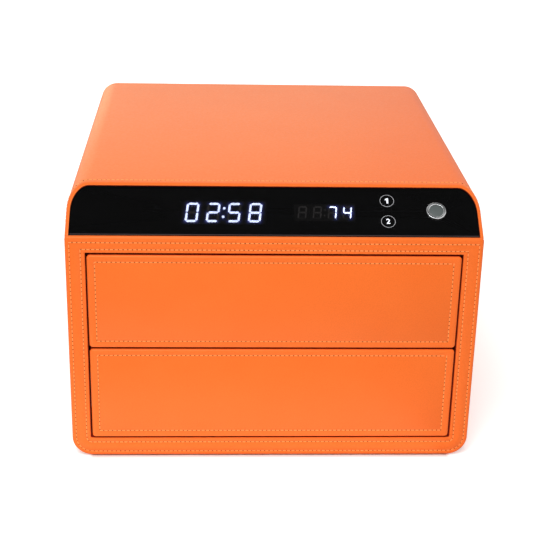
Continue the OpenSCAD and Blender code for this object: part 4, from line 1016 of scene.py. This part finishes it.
# Far from the lamps the paper is lifted a little more, so that no grey horizon shows.
away = add(sweep, "ShaderNodeVectorMath", {"operation": "LENGTH"}, {0: spot})
lift = ranged(sweep, away.outputs["Value"], LIFT_NEAR, LIFT_FAR, NEAR_BY, FAR_OFF)
strength = add(sweep, "ShaderNodeMath", {"operation": "MULTIPLY"}, {0: open_floor.outputs[0], 1: lift})
matt = add(sweep, "ShaderNodeBsdfDiffuse", {"Color": linear("#f2f2f2")})
own = add(sweep, "ShaderNodeEmission", (), {"Strength": strength.outputs[0]})
seen = add(sweep, "ShaderNodeAddShader", (), {0: matt.outputs[0], 1: own.outputs[0]})
rays = add(sweep, "ShaderNodeLightPath")
choose = add(sweep, "ShaderNodeMixShader", (), {
    0: rays.outputs["Is Camera Ray"], 1: matt.outputs[0], 2: seen.outputs[0]})
add(sweep, "ShaderNodeOutputMaterial", (), {"Surface": choose.outputs[0]})
floor.data.materials.append(sweep)

world = bpy.data.worlds.new("studio_white")
scene.world = world
world.use_nodes = True
world.node_tree.nodes.clear()
WHITE, AMBIENT = (1, 1, 1, 1), 0.42
CEILING_EDGE, CEILING_MIDDLE, CEILING_DARK = 0.88, 0.965, 0.08
white = add(world, "ShaderNodeBackground", {"Color": WHITE, "Strength": 1.0})
ambient = add(world, "ShaderNodeBackground", {"Color": WHITE, "Strength": AMBIENT})
# Mirror-like surfaces see a bright sweep round the box and a dark ceiling over it.
toward = add(world, "ShaderNodeTexCoord")
split = add(world, "ShaderNodeSeparateXYZ", (), {0: toward.outputs["Generated"]})
ceiling = ranged(world, split.outputs["Z"], 1.0, CEILING_DARK, CEILING_EDGE, CEILING_MIDDLE)
mirrored = add(world, "ShaderNodeBackground", {"Color": WHITE}, {"Strength": ceiling})
rays = add(world, "ShaderNodeLightPath")
direct = add(world, "ShaderNodeMath", {"operation": "MAXIMUM"}, {
    0: rays.outputs["Is Camera Ray"], 1: rays.outputs["Is Transmission Ray"]})
bounced = add(world, "ShaderNodeMixShader", (), {
    0: rays.outputs["Is Glossy Ray"], 1: ambient.outputs[0], 2: mirrored.outputs[0]})
sky = add(world, "ShaderNodeMixShader", (), {
    0: direct.outputs[0], 1: bounced.outputs[0], 2: white.outputs[0]})
add(world, "ShaderNodeOutputWorld", (), {"Surface": sky.outputs[0]})

AIM = Vector((0, 0, 0.12))
# Place in metres, side, watts and tint of each soft box.
SOFT_BOXES = {
    "soft_box_key": ((-0.55, -1.95, 2.9), 1.4, 76.0, "#ffffff"),
    "soft_box_over": ((-0.2, 2.2, 1.2), 1.3, 4.5, "#fff2b8"),
    "soft_box_left": ((-0.9, 2.2, 0.45), 0.9, 4.5, "#fff2b8")}
for name, (spot, size, watts, tint) in SOFT_BOXES.items():
    lamp_data = bpy.data.lights.new(name, "AREA")
    lamp_data.size = size
    lamp_data.energy = watts
    lamp_data.color = linear(tint)[:3]
    lamp = new_object(name, lamp_data)
    lamp.location = spot
    lamp.rotation_euler = (AIM - Vector(spot)).to_track_quat("-Z", "Y").to_euler()

# A white card at the foot of the box throws light up over its front.
CARD_WIDE, CARD_DEEP, CARD_WATTS, CARD_GAP, CARD_X, CARD_Z = 0.5, 0.15, 0.15, 4, -0.1, 0.001
card_data = bpy.data.lights.new("bounce_card", "AREA")
card_data.shape = "RECTANGLE"
card_data.size, card_data.size_y, card_data.energy = CARD_WIDE, CARD_DEEP, CARD_WATTS
card = new_object("bounce_card", card_data)
card.location = (CARD_X, -(REAR + CARD_GAP) * MM - CARD_DEEP / 2, CARD_Z)
card.rotation_euler = (math.pi, 0, 0)
card.visible_camera = False
